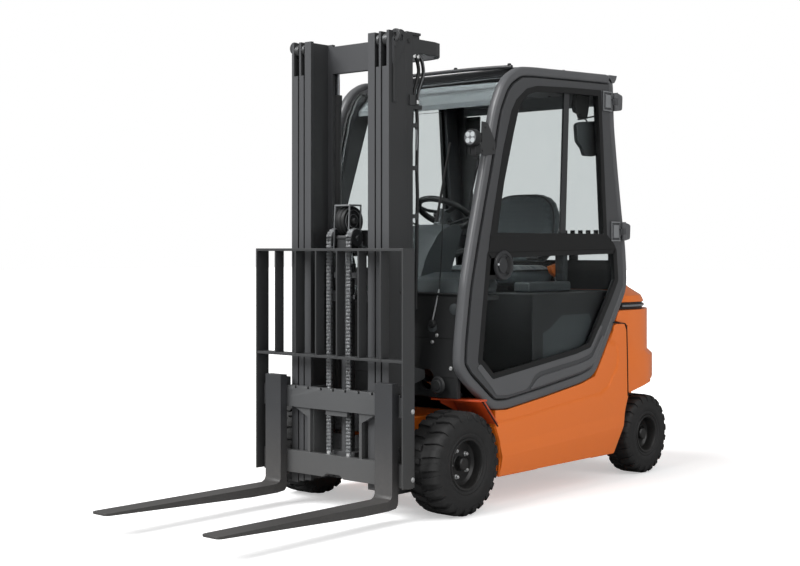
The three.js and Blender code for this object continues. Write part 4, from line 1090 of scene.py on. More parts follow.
# a crescent sheet in the darkest enamel over the solid cup: painted shade where the latch cup's hollow lies
# in shadow
crescent = [(y + 4 + 42 * math.cos(a), z + 42 * math.sin(a)) for a in [-1.15 + 0.23 * k for k in range(11)]]
crescent += [(y - 14 + 36 * math.cos(a), z + 36 * math.sin(a)) for a in [1.05 - 0.21 * k for k in range(11)]]
addPair("latch_hollow", "door_{}", "cylinderEnamel", slab(crescent, "x", 508, 519))
lock = lathe([(508, 0), (508, 5), (520, 5), (520, 0)], (0, y - 48, z + 4), sides=16)
addPair("latch_lock", "door_{}", "lampLens", lock)
loops = []
for hy, hz in hinges:
    pad = [(hy - 90, hz - 44), (hy - 20, hz - 44), (hy - 20, hz + 44), (hy - 90, hz + 44)]
    loops.append(slab(inset(pad, -5), "x", 512, 516, inset(pad, 1)))
    loops.append(slab(inset(pad, 12), "x", 512, 518))
addPair("hinge_loops", "door_{}", "hingeGrey", merge(*loops), bevel=1)

# cab fittings
strip = sweep([(0, y, z) for y, z in inset(counterClockwise(cabLine), 50)],
              [(-3, -1), (3, -1), (3, 1), (-3, 1)], closed=True, out=(1, 0, 0))
addPair("door_seal", "chassis", "gasketRubber", shift(strip, x=494))
liner = slab([(470, 1962), (560, 1945), (1120, 1958), (1165, 1990), (1165, 1998), (520, 1974), (468, 1970)],
             "x", -438, 438)
addPiece("headliner", "chassis", "headliner", liner, bevel=6, segments=3)
panels = [block(x - 95, x + 95, 600, 1080, 1937, 1950) for x in (-215, 0, 215)]
addPiece("headliner_panels", "chassis", "headliner", merge(*panels), bevel=5)
visor = slab([(318, 1822), (330, 1826), (380, 1872), (384, 1890), (452, 1950), (560, 1952), (560, 1960),
              (440, 1962),
              (366, 1894), (320, 1848)], "x", -430, 430)
addPiece("sun_visor", "chassis", "headliner", visor, bevel=2)
header = slab([(1152, 1884), (1170, 1882), (1172, 1920), (1160, 1986), (1140, 1986), (1154, 1918)],
              "x", -436, 436)
addPiece("rear_header", "chassis", "headliner", header, bevel=3)
corner = slab([(-452, 1240), (-416, 1240), (-404, 1430), (-342, 1640), (-336, 1880), (-452, 1880)],
              "y", 1176, 1190)
addPiece("rear_corner_panel", "chassis", "charcoalEnamel", corner, bevel=3)
bolts = [((x, y, 1937), (0, 0, -1)) for x in (-215, 0, 215) for y in (640, 1040)]
boltsAt("headliner_screws", "chassis", bolts, across=7, head=3, washer=10, kind="mouldedBlack")
frontStrip = sweep(smoothLine([(-440, 425, 2006), (-200, 405, 2010), (200, 405, 2010), (440, 425, 2006)], 8),
                   ring(9, 10))
addPiece("roof_front_tube", "chassis", "blackCabEnamel", frontStrip)
knobs = [lathe([(0, 0), (0, 9), (10, 9), (13, 6), (13, 0)], (x, y, z), "z", 12)
         for x, y, z in ((-300, 412, 2012), (120, 407, 2014), (425, 424, 2010), (400, 900, 2028),
                         (-400, 900, 2028))]
addPiece("roof_knobs", "chassis", "mouldedBlack", merge(*knobs))
gasket = sweep([(x, y, z) for x, y, z in (
    [(452, y, z) for y, z in ((36, 960), (96, 1238), (191, 1577), (250, 1800), (298, 1890), (348, 1938))]
    + [(-452, y, z) for y, z in ((348, 1938), (298, 1890), (250, 1800), (191, 1577), (96, 1238),
                                 (36, 960))])],
    [(-11, -6), (11, -6), (11, 6), (-11, 6)], closed=True)
addPiece("screen_gasket", "chassis", "gasketRubber", shift(gasket, y=4), bevel=2)
posts = []
for sign in (1, -1):
    posts.append(sweep([(sign * 446, y + 22, z) for y, z in (
        (38, 955), (98, 1238), (193, 1577), (252, 1800), (300, 1890), (350, 1938), (427, 1972))],
        [(-14, -20), (14, -20), (14, 20), (-14, 20)], out=(1, 0, 0)))
addPiece("front_posts", "chassis", "blackCabEnamel", merge(*posts), bevel=4)
wiper = [(306, 26, 838), (312, 40, 900), (319, 60, 985)]
addPiece("wiper_arm", "chassis", "oiledSteel", tube([(x, y - 16, z) for x, y, z in wiper], 4))
link = [(319, 60, 985), (300, 100, 1150), (262, 160, 1430)]
addPiece("wiper_link", "chassis", "gasketRubber", tube([(x, y - 16, z) for x, y, z in link], 3))
blade = [(262, 105, 1290), (262, 160, 1490), (262, 188, 1590), (262, 205, 1650)]
addPiece("wiper_blade", "chassis", "gasketRubber", tube([(x, y - 12, z) for x, y, z in blade], 6))
hub = lathe([(-22, 0), (-22, 14), (-16, 18), (8, 18), (8, 0)], (306, 22, 832), "y", 24)
addPiece("wiper_hub", "chassis", "mouldedBlack", hub)
print("doors and cab fittings are made")

# work lamps
lamp = {"x": 494, "y": 46, "z": 1655}
bowl = lathe([(2, 0), (2, 30), (-2, 33), (-2, 36), (3, 38), (28, 37), (44, 30), (50, 20), (52, 0)],
             (lamp["x"], lamp["y"], lamp["z"]), "y", 36)
addPair("lamp_bowl", "chassis", "mouldedBlack", bowl, "headlight")
x, y, z = lamp["x"], lamp["y"], lamp["z"]
lens = [lathe([(-3, 0), (-3, 11), (0, 12.6), (3, 12.6), (3, 0)], (x + a, y, z + b), "y", 20)
        for a in (-13, 13) for b in (-13, 13)]
addPair("lamp_lens", "chassis", "lampLens", merge(*lens), slot="lamp_housing")
bars = merge(block(x - 2, x + 2, y - 2, y + 4, z - 29, z + 29),
             block(x - 29, x + 29, y - 1.5, y + 4, z - 2, z + 2),
             lathe([(-2, 27), (-2, 31), (4, 31), (4, 27)], (x, y, z), "y", 32))
addPair("lamp_bars", "chassis", "hingeGrey", bars)
clamp = merge(block(x - 14, x + 14, y + 20, y + 52, z - 78, z - 36),
              block(x - 20, x - 14, y + 12, y + 50, z - 72, z - 44),
              block(x + 14, x + 20, y + 12, y + 50, z - 72, z - 44),
              block(x - 8, x + 8, y + 28, y + 44, z - 92, z - 74))
fins = [block(x - 26, x + 26, y + at, y + at + 3, z - 20, z + 22) for at in (36, 43, 50)]
addPair("lamp_clamp", "chassis", "mouldedBlack", merge(clamp, *fins), bevel=1)
bracketLine = [(113, 1729), (153, 1726), (190, 1674), (213, 1639), (208, 1588), (125, 1578), (96, 1596),
               (108, 1650)]
bracket = slab(bracketLine, "x", 503, 508)
addPair("lamp_bracket", "chassis", "charcoalEnamel", bracket, bevel=1.5)
boltsAt("lamp_bolts", "chassis", [((s * 508, y, z), (s, 0, 0)) for s in (1, -1)
                                  for y, z in ((196, 1612), (138, 1706), (116, 1600))],
        across=6, head=4, washer=8, kind="charcoalEnamel")
print("lamps are made")


# mast
mast = {
    "top": 2110, "front": -270, "rear": -112, "notch": 132, "rollerR": 30, "rollerZ": 38,
    "outer": (259, 298), "middle": (222, 251), "inner": (175, 215),
}
# the front flanges are cut back near the top, where the rollers of the next rail show
top, low, front = mast["top"], mast["top"] - mast["notch"], mast["front"]
for node, (near, far) in (("outer_mast", mast["outer"]), ("middle_mast", mast["middle"])):
    cuts = []
    for sign in (1, -1):
        x0, x1 = sorted((sign * (near - 2), sign * (far - 15)))
        cuts.append(slab(roundCorners([(x0, low), (x1, low), (x1, top + 20), (x0, top + 20)], 8, 3), "y",
                         front - 4, front + 19))
    carve(solids[node], *cuts)
    rollers = [lathe([(sign * (near - 3), 0), (sign * (near - 3), 24), (sign * near, mast["rollerR"]),
                      (sign * (far - 15.5), mast["rollerR"]), (sign * (far - 15.5), 0)],
                     (0, front + mast["rollerR"], top - mast["rollerZ"]), sides=28) for sign in (1, -1)]
    addPiece(f"{node}_rollers", node, "rollerSteel", merge(*rollers))
eye = merge(lathe([(-246, 10), (-246, 25), (-244, 27), (-234, 27), (-232, 25), (-232, 10)],
                  (311, 0, 2090), "y", 32), block(296, 312, -246, -232, 2040, 2072))
bar = slab([(-248, 1800), (-228, 1800), (-228, 2066), (-248, 2066)], "x", 298.2, 308)
addPair("lifting_eye", "outer_mast", "mastEnamel", eye)
addPair("guard_bar", "outer_mast", "charcoalEnamel", bar, bevel=2)
clip = merge(block(296, 306, -140, -96, 1795, 1840), block(270, 306, -104, -94, 1795, 1840))
small = [merge(block(278, 300, -112, -84, z, z + 18), lathe([(z - 6, 0), (z - 6, 7), (z + 24, 7),
                                                             (z + 24, 0)],
                                                            (290, -78, 0), "z", 12)) for z in (1700, 1512,
                                                                                               1300)]
addPair("mast_clips", "outer_mast", "mastEnamel", merge(clip, *small), bevel=1.5)
line = [(290, -78, 1790), (291, -74, 1700), (290, -76, 1512), (290, -72, 1400), (289, -74, 1296),
        (286, -72, 1150),
        (280, -70, 1040), (276, -68, 900)]
addPair("mast_line", "outer_mast", "hoseRubber", tube(line, 8, 8))
sleeve = [(302, -92, 1690), (303, -90, 1640), (302, -92, 1600)]
addPair("mast_line_sleeve", "outer_mast", "hingeGrey", tube(sleeve, 3.5, 5))
hoseRuns = {
    "mast_hose_front": [(280, -86, 1801), (280, -84, 1850), (280, -68, 1900), (280, -52, 1950),
                        (280, -62, 1995),
                        (280, -84, 2029)],
    "mast_hose_rear": [(280, -62, 1801), (280, -60, 1845), (280, -40, 1892), (280, -20, 1945),
                       (280, -30, 1998),
                       (280, -58, 2029)],
}
for node, run in hoseRuns.items():
    hose = merge(tube(run, 8, 6, 12), tube([(-x, y, z) for x, y, z in run], 8, 6, 12))
    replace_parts(addPiece(f"{node}_run", "outer_mast", "hoseRubber", hose, slot="hose_rubber"), node)
strip = [(289, -66, 1820), (289, -56, 1870), (289, -38, 1910), (289, -24, 1950), (289, -34, 1996),
         (289, -56, 2022)]
addPair("hose_highlight", "outer_mast", "hingeGrey", tube(strip, 2, 6, 6))
ends = merge(*[lathe([(z, 0), (z, 11), (z + 16, 11), (z + 16, 0)], (s * 280, y, 0), "z", 12)
               for s in (1, -1) for y in (-86, -62) for z in (1806, 2008)])
addPiece("hose_ends", "outer_mast", "zincPlate", ends)
bolts = [((sign * 299, y, z), (sign, 0, 0)) for sign in (1, -1)
         for y, z in ((-200, 300), (-150, 300), (-190, 560), (-190, 980), (-140, 2076), (-170, 2076))]
boltsAt("outer_mast_bolts", "outer_mast", bolts, across=8, head=5, washer=11, kind="charcoalEnamel")
ties = [merge(block(-258, 258, -111, -101, z, z + 8), block(-258, 258, -111, -101, z + h - 8, z + h))
        for z, h in ((1180, 70), (1970, 126))]
addPiece("tie_edges", "outer_mast", "mastEnamel", merge(*ties), bevel=1.5)

# free lift head, chains
pulleyAxle, sheaveAxle, chainR = (0, -203, 1290), (0, -232, 1215), 37
pulley = lathe([
    (-26, 0), (-26, 24), (-22, 26), (-22, 52), (-25, 56), (-25, 64), (-21, 66), (-14, 60), (-6, 60), (-2, 66),
    (2, 66), (6, 60), (14, 60), (21, 66), (25, 64), (25, 56), (22, 52), (22, 26), (26, 24), (26, 0)],
    pulleyAxle, sides=56)
headParts = addPiece("hose_pulley", "free_lift", "mouldedBlack", pulley, smoothAngle=28)
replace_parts(headParts, "crosshead")
for name, near, far in (("pulley_rings", -27, -24), ("pulley_rings_far", 24, 27)):
    rings = [lathe([(near, r), (near, r + 2.5), (far, r + 2.5), (far, r)], pulleyAxle, sides=48)
             for r in (28, 48)]
    addPiece(name, "free_lift", "hingeGrey", merge(*rings))
frameBar = [(-262, 1152), (-176, 1152), (-170, 1364), (-250, 1364)]
guards = [slab(frameBar, "x", x, x + 4, inset(frameBar, 8)) for x in (-46, 42)]
guards.append(slab([(-41.5, 1357), (41.5, 1357), (41.5, 1363), (-41.5, 1363)], "y", -248, -172))
addPiece("pulley_guard", "free_lift", "hingeGrey", merge(*guards), bevel=1)
yoke = merge(block(-78, 78, -262, -176, 1148, 1166), block(-40, 40, -240, -180, 1166, 1226),
             lathe([(-86, 0), (-86, 11), (86, 11), (86, 0)], sheaveAxle, sides=20),
             lathe([(-44, 0), (-44, 14), (44, 14), (44, 0)], pulleyAxle, sides=20))
addPiece("lift_yoke", "free_lift", "charcoalEnamel", yoke, bevel=1.5)
sheave = lathe([(44, 12), (44, 38), (47, 38), (48, 33), (72, 33), (73, 38), (76, 38), (76, 12)],
               sheaveAxle, sides=40)
addPair("chain_sheave", "free_lift", "rollerSteel", sheave)
rod = lathe([(262, 0), (262, 20), (1148, 20), (1148, 0)], (0, -210, 0), "z", 32)
addPiece("free_rod", "free_lift", "hardChrome", rod)
chainY, chainTop = sheaveAxle[1:]
chainRuns = {
    "lift_chain": [(60, chainY - chainR, chainTop), (60, chainY - chainR, 252)],
    "chain_loop": [(60, chainY - chainR * math.cos(math.pi * k / 12),
                    chainTop + chainR * math.sin(math.pi * k / 12))
                   for k in range(13)] + [(60, chainY + chainR, 1062)],
}
link = {"pitch": 15.875, "round": 6.2, "waist": 3.4, "plate": 1.9, "pin": 2.4}


def linkShape(width):
    # a waisted outer plate; the plates of one joint stand side by side on its pins
    half, r, waist = link["pitch"] / 2, link["round"], link["waist"]
    outline = [(r * math.cos(a), half + r * math.sin(a)) for a in [-0.3 + 0.935 * k for k in range(5)]]
    outline += [(-waist, 0)]
    outline += [(-r * math.cos(a), -half - r * math.sin(a)) for a in [-0.3 + 0.935 * k for k in range(5)]]
    outline += [(waist, 0)]
    plates = [slab(outline, "x", x - link["plate"] / 2, x + link["plate"] / 2) for x in width]
    pin = lathe([(-12.6, 0), (-12.6, link["pin"]), (12.6, link["pin"]), (12.6, 0)], (0, 0, half), sides=6)
    return merge(*plates, pin)


def chainSeed(run, phase):
    # points along the chain's centre, one joint apart
    line = [Vector(p) for p in chainRuns[run]]
    lengths = [0]
    for a, b in zip(line, line[1:]):
        lengths.append(lengths[-1] + (b - a).length)
    count = int((lengths[-1] - phase) // link["pitch"])
    joints = []
    for k in range(count + 1):
        s = phase + k * link["pitch"]
        i = max(j for j, at in enumerate(lengths) if at <= s + 1e-6)
        i = min(i, len(line) - 2)
        joints.append(line[i].lerp(line[i + 1], (s - lengths[i]) / (lengths[i + 1] - lengths[i])))
    return joints


def makeChain(side):
    # the front run rides up with the free-lift head; the loop over the sheave and the run behind it stay
    # where they are
    sign = 1 if side == "left" else -1
    for run in chainRuns:
        joints = chainSeed(run, link["pitch"] / 2)
        middles = [(a + b) / 2 for a, b in zip(joints, joints[1:])]
        ways = [(b - a).normalized() for a, b in zip(joints, joints[1:])]
        for name, first, width in (("a", 0, (-11.4, -4.6, 4.6, 11.4)), ("b", 1, (-9.1, -2.3, 2.3, 9.1))):
            mesh = bpy.data.meshes.new("chainPoints")
            mesh.from_pydata([spot(sign * m.x, m.y, m.z) for m in middles[first::2]], [], [])
            facing = mesh.attributes.new("facing", "FLOAT_VECTOR", "POINT")
            facing.data.foreach_set("vector", [c for w in ways[first::2] for c in w])
            worker = addObject("linkShape", seedMesh(linkShape(width), (0, 0, 0)))
            worker.location = (0, 0, -5)
            body = "free_lift" if run == "lift_chain" else None
            made = grow(f"{run}_{side}_{name}", body, mesh, "chain", {"Link": worker}, "oiledSteel")
            bpy.data.objects.remove(worker)
            if body:
                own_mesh(made)
            else:
                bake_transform(made)
            if run == "lift_chain" and name == "a":
                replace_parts(made, f"lift_chain_{side}")


for side in ("left", "right"):
    makeChain(side)
print("mast and chains are made")

# carriage and guard fittings
anchors = merge(block(52, 68, -276, -262, 222, 262), lathe([(196, 0), (196, 7), (262, 7), (262, 0)],
                                                          (60, -268, 0), "z", 12),
                lathe([(206, 0), (206, 12), (220, 12), (220, 0)], (60, -268, 0), "z", 6))
addPair("chain_anchor", "carriage", "zincPlate", anchors)
block1 = block(-54, 78, -300, -282, 425, 449)
addPiece("carriage_block", "carriage", "carriageEnamel", block1, bevel=3)
bolts = [((s * 450.7, y, z), (s, 0, 0)) for s in (1, -1) for y, z in ((-290, 478), (-290, 190))]
boltsAt("guard_bolts", "carriage", bolts, across=8, head=4, washer=11)
bolts = [((s * x, -278, z), (0, 1, 0)) for s in (1, -1) for x in (200, 380) for z in (180, 222, 480, 515)]
boltsAt("carriage_bolts", "carriage", bolts, across=9, head=6, washer=12, kind="charcoalEnamel")
print("carriage fittings are made")

# front end
tiltRod = {"x": 279, "baseY": 440, "baseZ": 385, "eyeY": -45, "eyeZ": 610, "glandAt": 250}
gland = lathe([(-4, 0), (-4, 33), (14, 33), (14, 26), (22, 26), (22, 0)], (0, 0, 0), "y", 28)
lean = math.pi - math.atan2(tiltRod["eyeZ"] - tiltRod["baseZ"], tiltRod["eyeY"] - tiltRod["baseY"])
glandY = tiltRod["baseY"] - 4 - math.cos(lean) * tiltRod["glandAt"]
glandZ = tiltRod["baseZ"] + math.sin(lean) * tiltRod["glandAt"]
for side in ("left", "right"):
    shape = shift(tilt(gland, -lean, 0, 0), tiltRod["x"], glandY, glandZ)
    addPiece(f"tilt_gland_{side}", f"tilt_barrel_{side}", "hingeGrey",
             shape if side == "left" else flipX(shape))
fenderBolts = [((s * 380, 62, 503.5), (0, -0.2, 1)) for s in (1, -1)]
fenderBolts += [((s * 390, 39, 520), (0, -1, 0)) for s in (1, -1)]
boltsAt("fender_bolts", "chassis", fenderBolts, across=6, head=4, washer=9)
lip = sweep([(522, 98, 492), (523, 140, 447), (523, 200, 381)], [(-14, -3), (14, -3), (14, 3), (-14, 3)])
addPair("fender_lip", "chassis", "gasketRubber", lip)
cowlBolts = [((s * x, y, z), (0, -1, 0.1)) for s in (1, -1)
             for x, y, z in ((420, 1, 640), (305, 12, 751), (330, 14, 782))]
boltsAt("cowl_bolts", "chassis", cowlBolts, across=6, head=4, washer=9)
seams = [block(x - 2, x + 2, -1.5, 4, 510, 600) for x in (-330, 330)]
seams += [slab([(-1, 598), (12, 748), (32, 950), (36, 950), (16, 748), (3, 598)], "x", x - 2, x + 2)
          for x in (-446, -120, 120, 446)]
seams += [block(low, high, -1.5, 4, 598, 602) for low, high in ((-440, -334), (-220, 220), (334, 440))]
seams.append(block(-446, 446, 12, 18, 768, 772))
addPiece("cowl_seams", "chassis", "gasketRubber", shift(merge(*seams), y=1.2))
discs = [tilt(lathe([(-7, 0), (-7, 14), (-3, 26), (4, 26), (4, 0)], (x, 20, z), "y", 28), 0.12, 20, z)
         for x, z in ((426, 899), (300, 815), (-300, 815), (-426, 899))]
addPiece("cowl_caps", "chassis", "mouldedGrey", merge(*discs))
hornAt = (372, 20, 566)
bell = [(-58, 0), (-58, 34), (-50, 40), (-44, 34), (-20, 16), (10, 14), (10, 0)]
horn = merge(lathe(bell, hornAt, "y", 28), lathe([(-62, 0), (-62, 20), (-56, 24), (-56, 0)], hornAt, "y", 24))
addPiece("horn", "chassis", "mouldedBlack", horn)
print("front end is made")


# inside the cab
steering = {"y": 470, "z": 1340, "lean": 30, "ring": 132, "grip": 15}


def torus(ringR, gripR, centre, sides=56, around=12):
    points, faces = [], []
    for k in range(sides):
        c, s = math.cos(2 * math.pi * k / sides), math.sin(2 * math.pi * k / sides)
        for j in range(around):
            a = 2 * math.pi * j / around
            r = ringR + gripR * math.cos(a)
            points.append((centre[0] + r * c, centre[1] + r * s, centre[2] + gripR * math.sin(a)))
            faces.append([k * around + j, ((k + 1) % sides) * around + j,
                          ((k + 1) % sides) * around + (j + 1) % around, k * around + (j + 1) % around])
    return points, faces


def onWheel(shape):
    y, z = steering["y"], steering["z"]
    return tilt(shift(shape, 0, y, z), -math.radians(steering["lean"]), y, z)


hubShape = lathe([(-36, 0), (-36, 30), (-6, 38), (4, 36), (8, 26), (9, 0)], (0, 0, 0), "z", 32)
spokes = [turnZ(sweep([(20, 0, -2), (80, 0, -10), (140, 0, -1)], [(-13, -3), (13, -3), (13, 3), (-13, 3)],
                      out=(0, 0, 1)), 2 * math.pi * k / 3 + math.pi / 2, 0, 0) for k in range(3)]
rim = onWheel(torus(steering["ring"], steering["grip"], (0, 0, 0)))
wheel = addPiece("steering_ring", "steering_wheel", "mouldedBlack", rim)
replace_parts(wheel, "steering_wheel")
addPiece("steering_hub", "steering_wheel", "mouldedGrey", onWheel(merge(hubShape, *spokes)), bevel=1)
ball = lathe([(14, 0), (14, 10), (24, 10), (30, 20), (42, 24), (54, 18), (58, 0)], (-118, 84, 0), "z", 20)
addPiece("spinner_knob", "steering_wheel", "mouldedBlack", onWheel(ball))
stalks = merge(tube([(60, 400, 1268), (130, 380, 1290), (205, 372, 1306)], 5),
               tube([(-60, 400, 1268), (-150, 385, 1296)], 5), tube([(205, 372, 1306), (232, 370, 1310)], 9))
addPiece("column_stalks", "chassis", "mouldedBlack", stalks)
display = slab([(330, 1272), (392, 1300), (384, 1338), (318, 1312)], "x", -250, -140)
addPiece("display", "chassis", "mouldedBlack", display, bevel=6)

deckTop = 955
armRest = sweep(smoothLine([(282, 800, 1118), (282, 960, 1148), (282, 1120, 1172)], 5),
                [(-38, -10), (38, -10), (38, 10), (-38, 10)], out=(0, -0.15, 1))
addPair("armrest", "chassis", "mouldedBlack", armRest, bevel=8, segments=3)
edge = tube([(322, 795, 1126), (322, 960, 1156), (322, 1120, 1180)], 3)
addPair("armrest_edge", "chassis", "hingeGrey", edge)
console = merge(block(244, 336, 700, 1060, deckTop, 1004), block(262, 318, 1020, 1060, 1004, 1166))
addPair("side_console", "chassis", "mouldedGrey", console, bevel=10, segments=3)
levers = [merge(tube([(-282, y, 1120), (-282, y - 10, 1176), (-284, y - 14, 1196)], 4),
                lathe([(1190, 0), (1190, 9), (1206, 14), (1222, 12), (1228, 0)], (-284, y - 14, 0), "z", 16))
          for y in (800, 830, 860, 890)]
addPiece("hydraulic_levers", "chassis", "mouldedBlack", merge(*levers))
buckle = slab([(980, 1078), (1062, 1094), (1074, 1076), (1056, 1056), (1112, 1036), (1100, 1016),
               (1036, 1024),
               (1000, 1044)], "x", 240, 266)
addPiece("belt_buckle", "chassis", "buckleOrange", buckle, bevel=5)
tongue = slab([(1046, 974), (1086, 968), (1090, 1024), (1042, 1028)], "x", 250, 254,
              [(1058, 982), (1074, 980), (1074, 994), (1060, 996)])
addPiece("belt_tongue", "chassis", "zincPlate", tongue)
folds = []
for k in range(5):
    z = 958 + k * 5
    folds.append(slab([(-192, 724), (192, 724), (192, 1084), (-192, 1084)], "z", z, z + 3.4))
addPiece("seat_bellows", "chassis", "gasketRubber", merge(*folds), bevel=1.4)
mat = block(-440, 440, 350, 555, 494, 498)
addPiece("floor_mat", "chassis", "gasketRubber", mat, bevel=1)
rib = seedMesh(block(-430, 430, 354, 358, 498, 501))
grow("mat_ribs", "chassis", rib, "row", {"Count": 16, "Step": (0, 12.5 * mm, 0)}, "gasketRubber")
pedals = merge(
    tilt(block(80, 160, 220, 232, 560, 680), -0.5, 226, 620),
    tube([(120, 236, 620), (120, 190, 760), (120, 170, 850)], 8),
    tilt(block(-40, 40, 240, 252, 560, 650), -0.5, 246, 605),
    tube([(0, 256, 605), (0, 200, 760), (0, 180, 850)], 8))
addPiece("pedals", "chassis", "mouldedBlack", pedals, bevel=2)
dashLine = [(60, 960), (300, 960), (330, 1010), (250, 1060), (90, 1030)]
for side, low, high in (("left", 122, 440), ("right", -440, -122)):
    dash = slab(dashLine, "x", low, high)
    addPiece(f"dash_{side}", "chassis", "mouldedGrey", dash, bevel=14, segments=3)
boxed = slab([(598, 515), (1000, 565), (1090, 686), (1170, 800), (1170, 915), (598, 915)], "x", 438, 452)
addPair("seat_base_panel", "chassis", "mouldedBlack", boxed, bevel=4)
lidLine = [(640, 640), (880, 650), (1000, 700), (1060, 810), (1040, 850), (800, 850), (700, 790), (640, 770)]
panelFront = slab(lidLine, "x", 450, 458)
addPair("battery_lid", "chassis", "mouldedGrey", panelFront, bevel=4)
mirrorLine = [(973, 1775), (990, 1788), (1018, 1794), (1149, 1807), (1161, 1641), (1130, 1628), (1046, 1628),
              (1030, 1660), (984, 1694)]
back = slab(roundCorners(mirrorLine, 12, 3), "x", 404, 428)
addPiece("cab_mirror", "chassis", "mouldedGrey", back, bevel=5, segments=3)
glassFace = slab(inset(counterClockwise(roundCorners(mirrorLine, 12, 3)), 9), "x", 402, 406)
addPiece("cab_mirror_glass", "chassis", "mirrorSilver", glassFace)
arm = merge(tube([(416, 1080, 1800), (416, 1060, 1812), (416, 1003, 1805), (416, 1136, 1829),
                  (416, 1150, 1836)], 4),
            slab([(960, 1864), (972, 1840), (1004, 1832), (1016, 1812), (1062, 1812), (1072, 1836),
                  (1082, 1880),
                  (1082, 1958), (976, 1958)], "x", 404, 428))
addPiece("cab_mirror_arm", "chassis", "mouldedBlack", arm, bevel=3)
slat = seedMesh(block(-424, -400, 1262, 1270, 1225, 1262))
grow("rear_guard_teeth", "chassis", slat, "row", {"Count": 18, "Step": (47.5 * mm, 0, 0)}, "mouldedBlack")
wall = slab([(1262, 958), (1276, 958), (1273, 1108), (1259, 1108)], "x", -440, 440)
addPiece("rear_wall", "chassis", "mouldedBlack", wall, bevel=3)
rails = merge(block(-440, 440, 1254, 1268, 1158, 1228), block(190, 240, 1252, 1266, 1108, 1158),
              block(-240, -190, 1252, 1266, 1108, 1158))
addPiece("rear_guard_rail", "chassis", "mouldedBlack", rails, bevel=2)
rearPosts = merge(*[sweep([(s * 446, y, z) for y, z in ((1280, 960), (1276, 1130), (1248, 1316), (1204, 1561),
                                                        (1170, 1790), (1160, 1985))],
                          [(-16, -24), (16, -24), (16, 24), (-16, 24)], out=(1, 0, 0)) for s in (1, -1)])
addPiece("rear_posts", "chassis", "blackCabEnamel", rearPosts, bevel=4)
print("inside of the cab is made")

# seat
seatShapes = {
    "seat_cushion": {"line": [(985, 0), (1000, 0), (1030, 0), (1062, 0), (1076, 0)],
                     "half": (196, 226, 232, 224, 196), "front": 712, "rear": 1092, "round": 70},
    "seat_backrest": {"line": [(1096, 1096), (1140, 1102), (1220, 1114), (1300, 1128), (1360, 1137),
                               (1404, 1143),
                               (1432, 1148), (1450, 1151), (1456, 1152)],
                      "half": (148, 188, 212, 214, 204, 184, 152, 104, 60),
                      "thick": (52, 72, 80, 78, 70, 60, 48, 30, 16), "round": 40},
}


def padShape(name):
    s = seatShapes[name]
    points, faces, rings = [], [], []
    for i, (z, y) in enumerate(s["line"]):
        h = s["half"][i]
        if name == "seat_cushion":
            drawn = max(s["half"]) - h
            near, far = s["front"] + drawn * 0.5, s["rear"] - drawn * 0.4
            corners = [(-h, near), (h, near), (h, far), (-h, far)]
        else:
            t = s["thick"][i] / 2
            corners = [(-h, y - t), (h, y - t), (h, y + t), (-h, y + t)]
        rings.append([(a, b, z) for a, b in roundCorners(corners, s["round"], 6)])
    count = len(rings[0])
    for r in rings:
        points += r
    for i in range(len(rings) - 1):
        for k in range(count):
            j = (k + 1) % count
            faces.append([i * count + k, i * count + j, (i + 1) * count + j, (i + 1) * count + k])
    faces += [list(range(count))[::-1], [(len(rings) - 1) * count + k for k in range(count)]]
    return points, faces


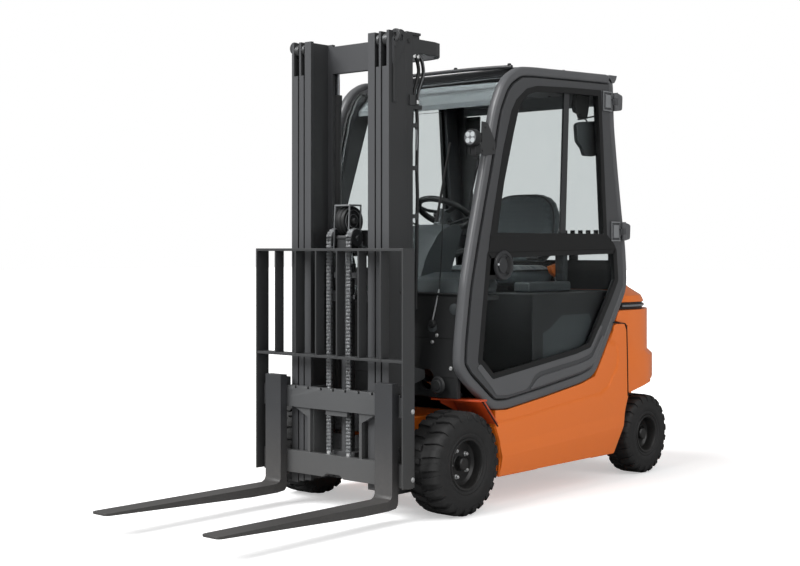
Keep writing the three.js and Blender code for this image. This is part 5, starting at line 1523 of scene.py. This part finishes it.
def makePad(name):
    made = addObject(f"{name}_pad", meshOf(f"{name}_pad", padShape(name), "wovenSeat", 60))
    remesh = made.modifiers.new("even", "REMESH")
    remesh.mode = "VOXEL"
    remesh.voxel_size = 0.006
    bpy.context.view_layer.update()
    made.data = bpy.data.meshes.new_from_object(made.evaluated_get(bpy.context.evaluated_depsgraph_get()))
    made.modifiers.clear()
    still = [v.co.copy() for v in made.data.vertices]
    cloth = made.modifiers.new("cover", "CLOTH")
    cloth.settings.use_pressure = True
    cloth.settings.uniform_pressure_force = 4
    cloth.settings.effector_weights.gravity = 0
    cloth.settings.quality = 6
    cloth.settings.tension_stiffness = 25
    cloth.settings.compression_stiffness = 25
    cloth.settings.mass = 0.4
    cloth.point_cache.frame_start = 1
    cloth.point_cache.frame_end = 20
    scene = bpy.context.scene
    for step in range(1, 21):
        scene.frame_set(step)
    made.data = bpy.data.meshes.new_from_object(made.evaluated_get(bpy.context.evaluated_depsgraph_get()))
    made.modifiers.clear()
    scene.frame_set(1)
    most = 7 * mm
    for v, was in zip(made.data.vertices, still):
        move = v.co - was
        if move.length > most:
            v.co = was + move.normalized() * most
    made.data.materials.clear()
    made.data.materials.append(finish["wovenSeat"])
    made.data.shade_smooth()
    smooth = made.modifiers.new("soft", "SUBSURF")
    smooth.levels = 1
    smooth.render_levels = 1
    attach(made, "chassis")
    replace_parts(made, name)
    return made


for name in seatShapes:
    makePad(name)
pipeBase = [(a, b, 1058) for a, b in roundCorners([(-234, 710), (234, 710), (234, 1094), (-234, 1094)],
                                                  70, 6)]
addPiece("seat_piping", "chassis", "seatPiping", sweep(pipeBase, ring(4, 8), closed=True))
pipeBack = [(x, y - 32, z) for x, y, z in (
    (-160, 1104, 1125), (-200, 1114, 1210), (-206, 1128, 1300), (-188, 1138, 1376), (-140, 1144, 1424),
    (-70, 1146, 1442), (70, 1146, 1442), (140, 1144, 1424), (188, 1138, 1376), (206, 1128, 1300),
    (200, 1114, 1210), (160, 1104, 1125))]
addPiece("back_piping", "chassis", "seatPiping", tube(pipeBack, 4, 5, 8))
print("seat is made")

# rear end
rearY = 1862
capPlan = [(454, 1345), (466, 1400), (462, 1510), (442, 1565), (406, 1630), (371, 1685), (326, 1735),
           (261, 1780),
           (176, 1808), (0, 1812)]
capLine = smoothLine([(x, y, 874) for x, y in capPlan] + [(-x, y, 874) for x, y in capPlan[-2::-1]], 4)
addPiece("silver_strip", "chassis", "anodisedTrim", sweep(capLine, [(-4, -5), (4, -5), (4, 5), (-4, 5)],
                                                         out=(0, 0, 1)), slot="trim_strip")
pinY = rearY - 34
pin = merge(lathe([(430, 0), (430, 14), (560, 14), (560, 24), (572, 24), (576, 18), (576, 0)], (0, pinY, 0),
                  "z", 24),
            tube([(-18, pinY, 576), (-14, pinY, 604), (14, pinY, 604), (18, pinY, 576)], 5))
addPiece("tow_pin", "chassis", "zincPlate", pin)
print("rear end is made")
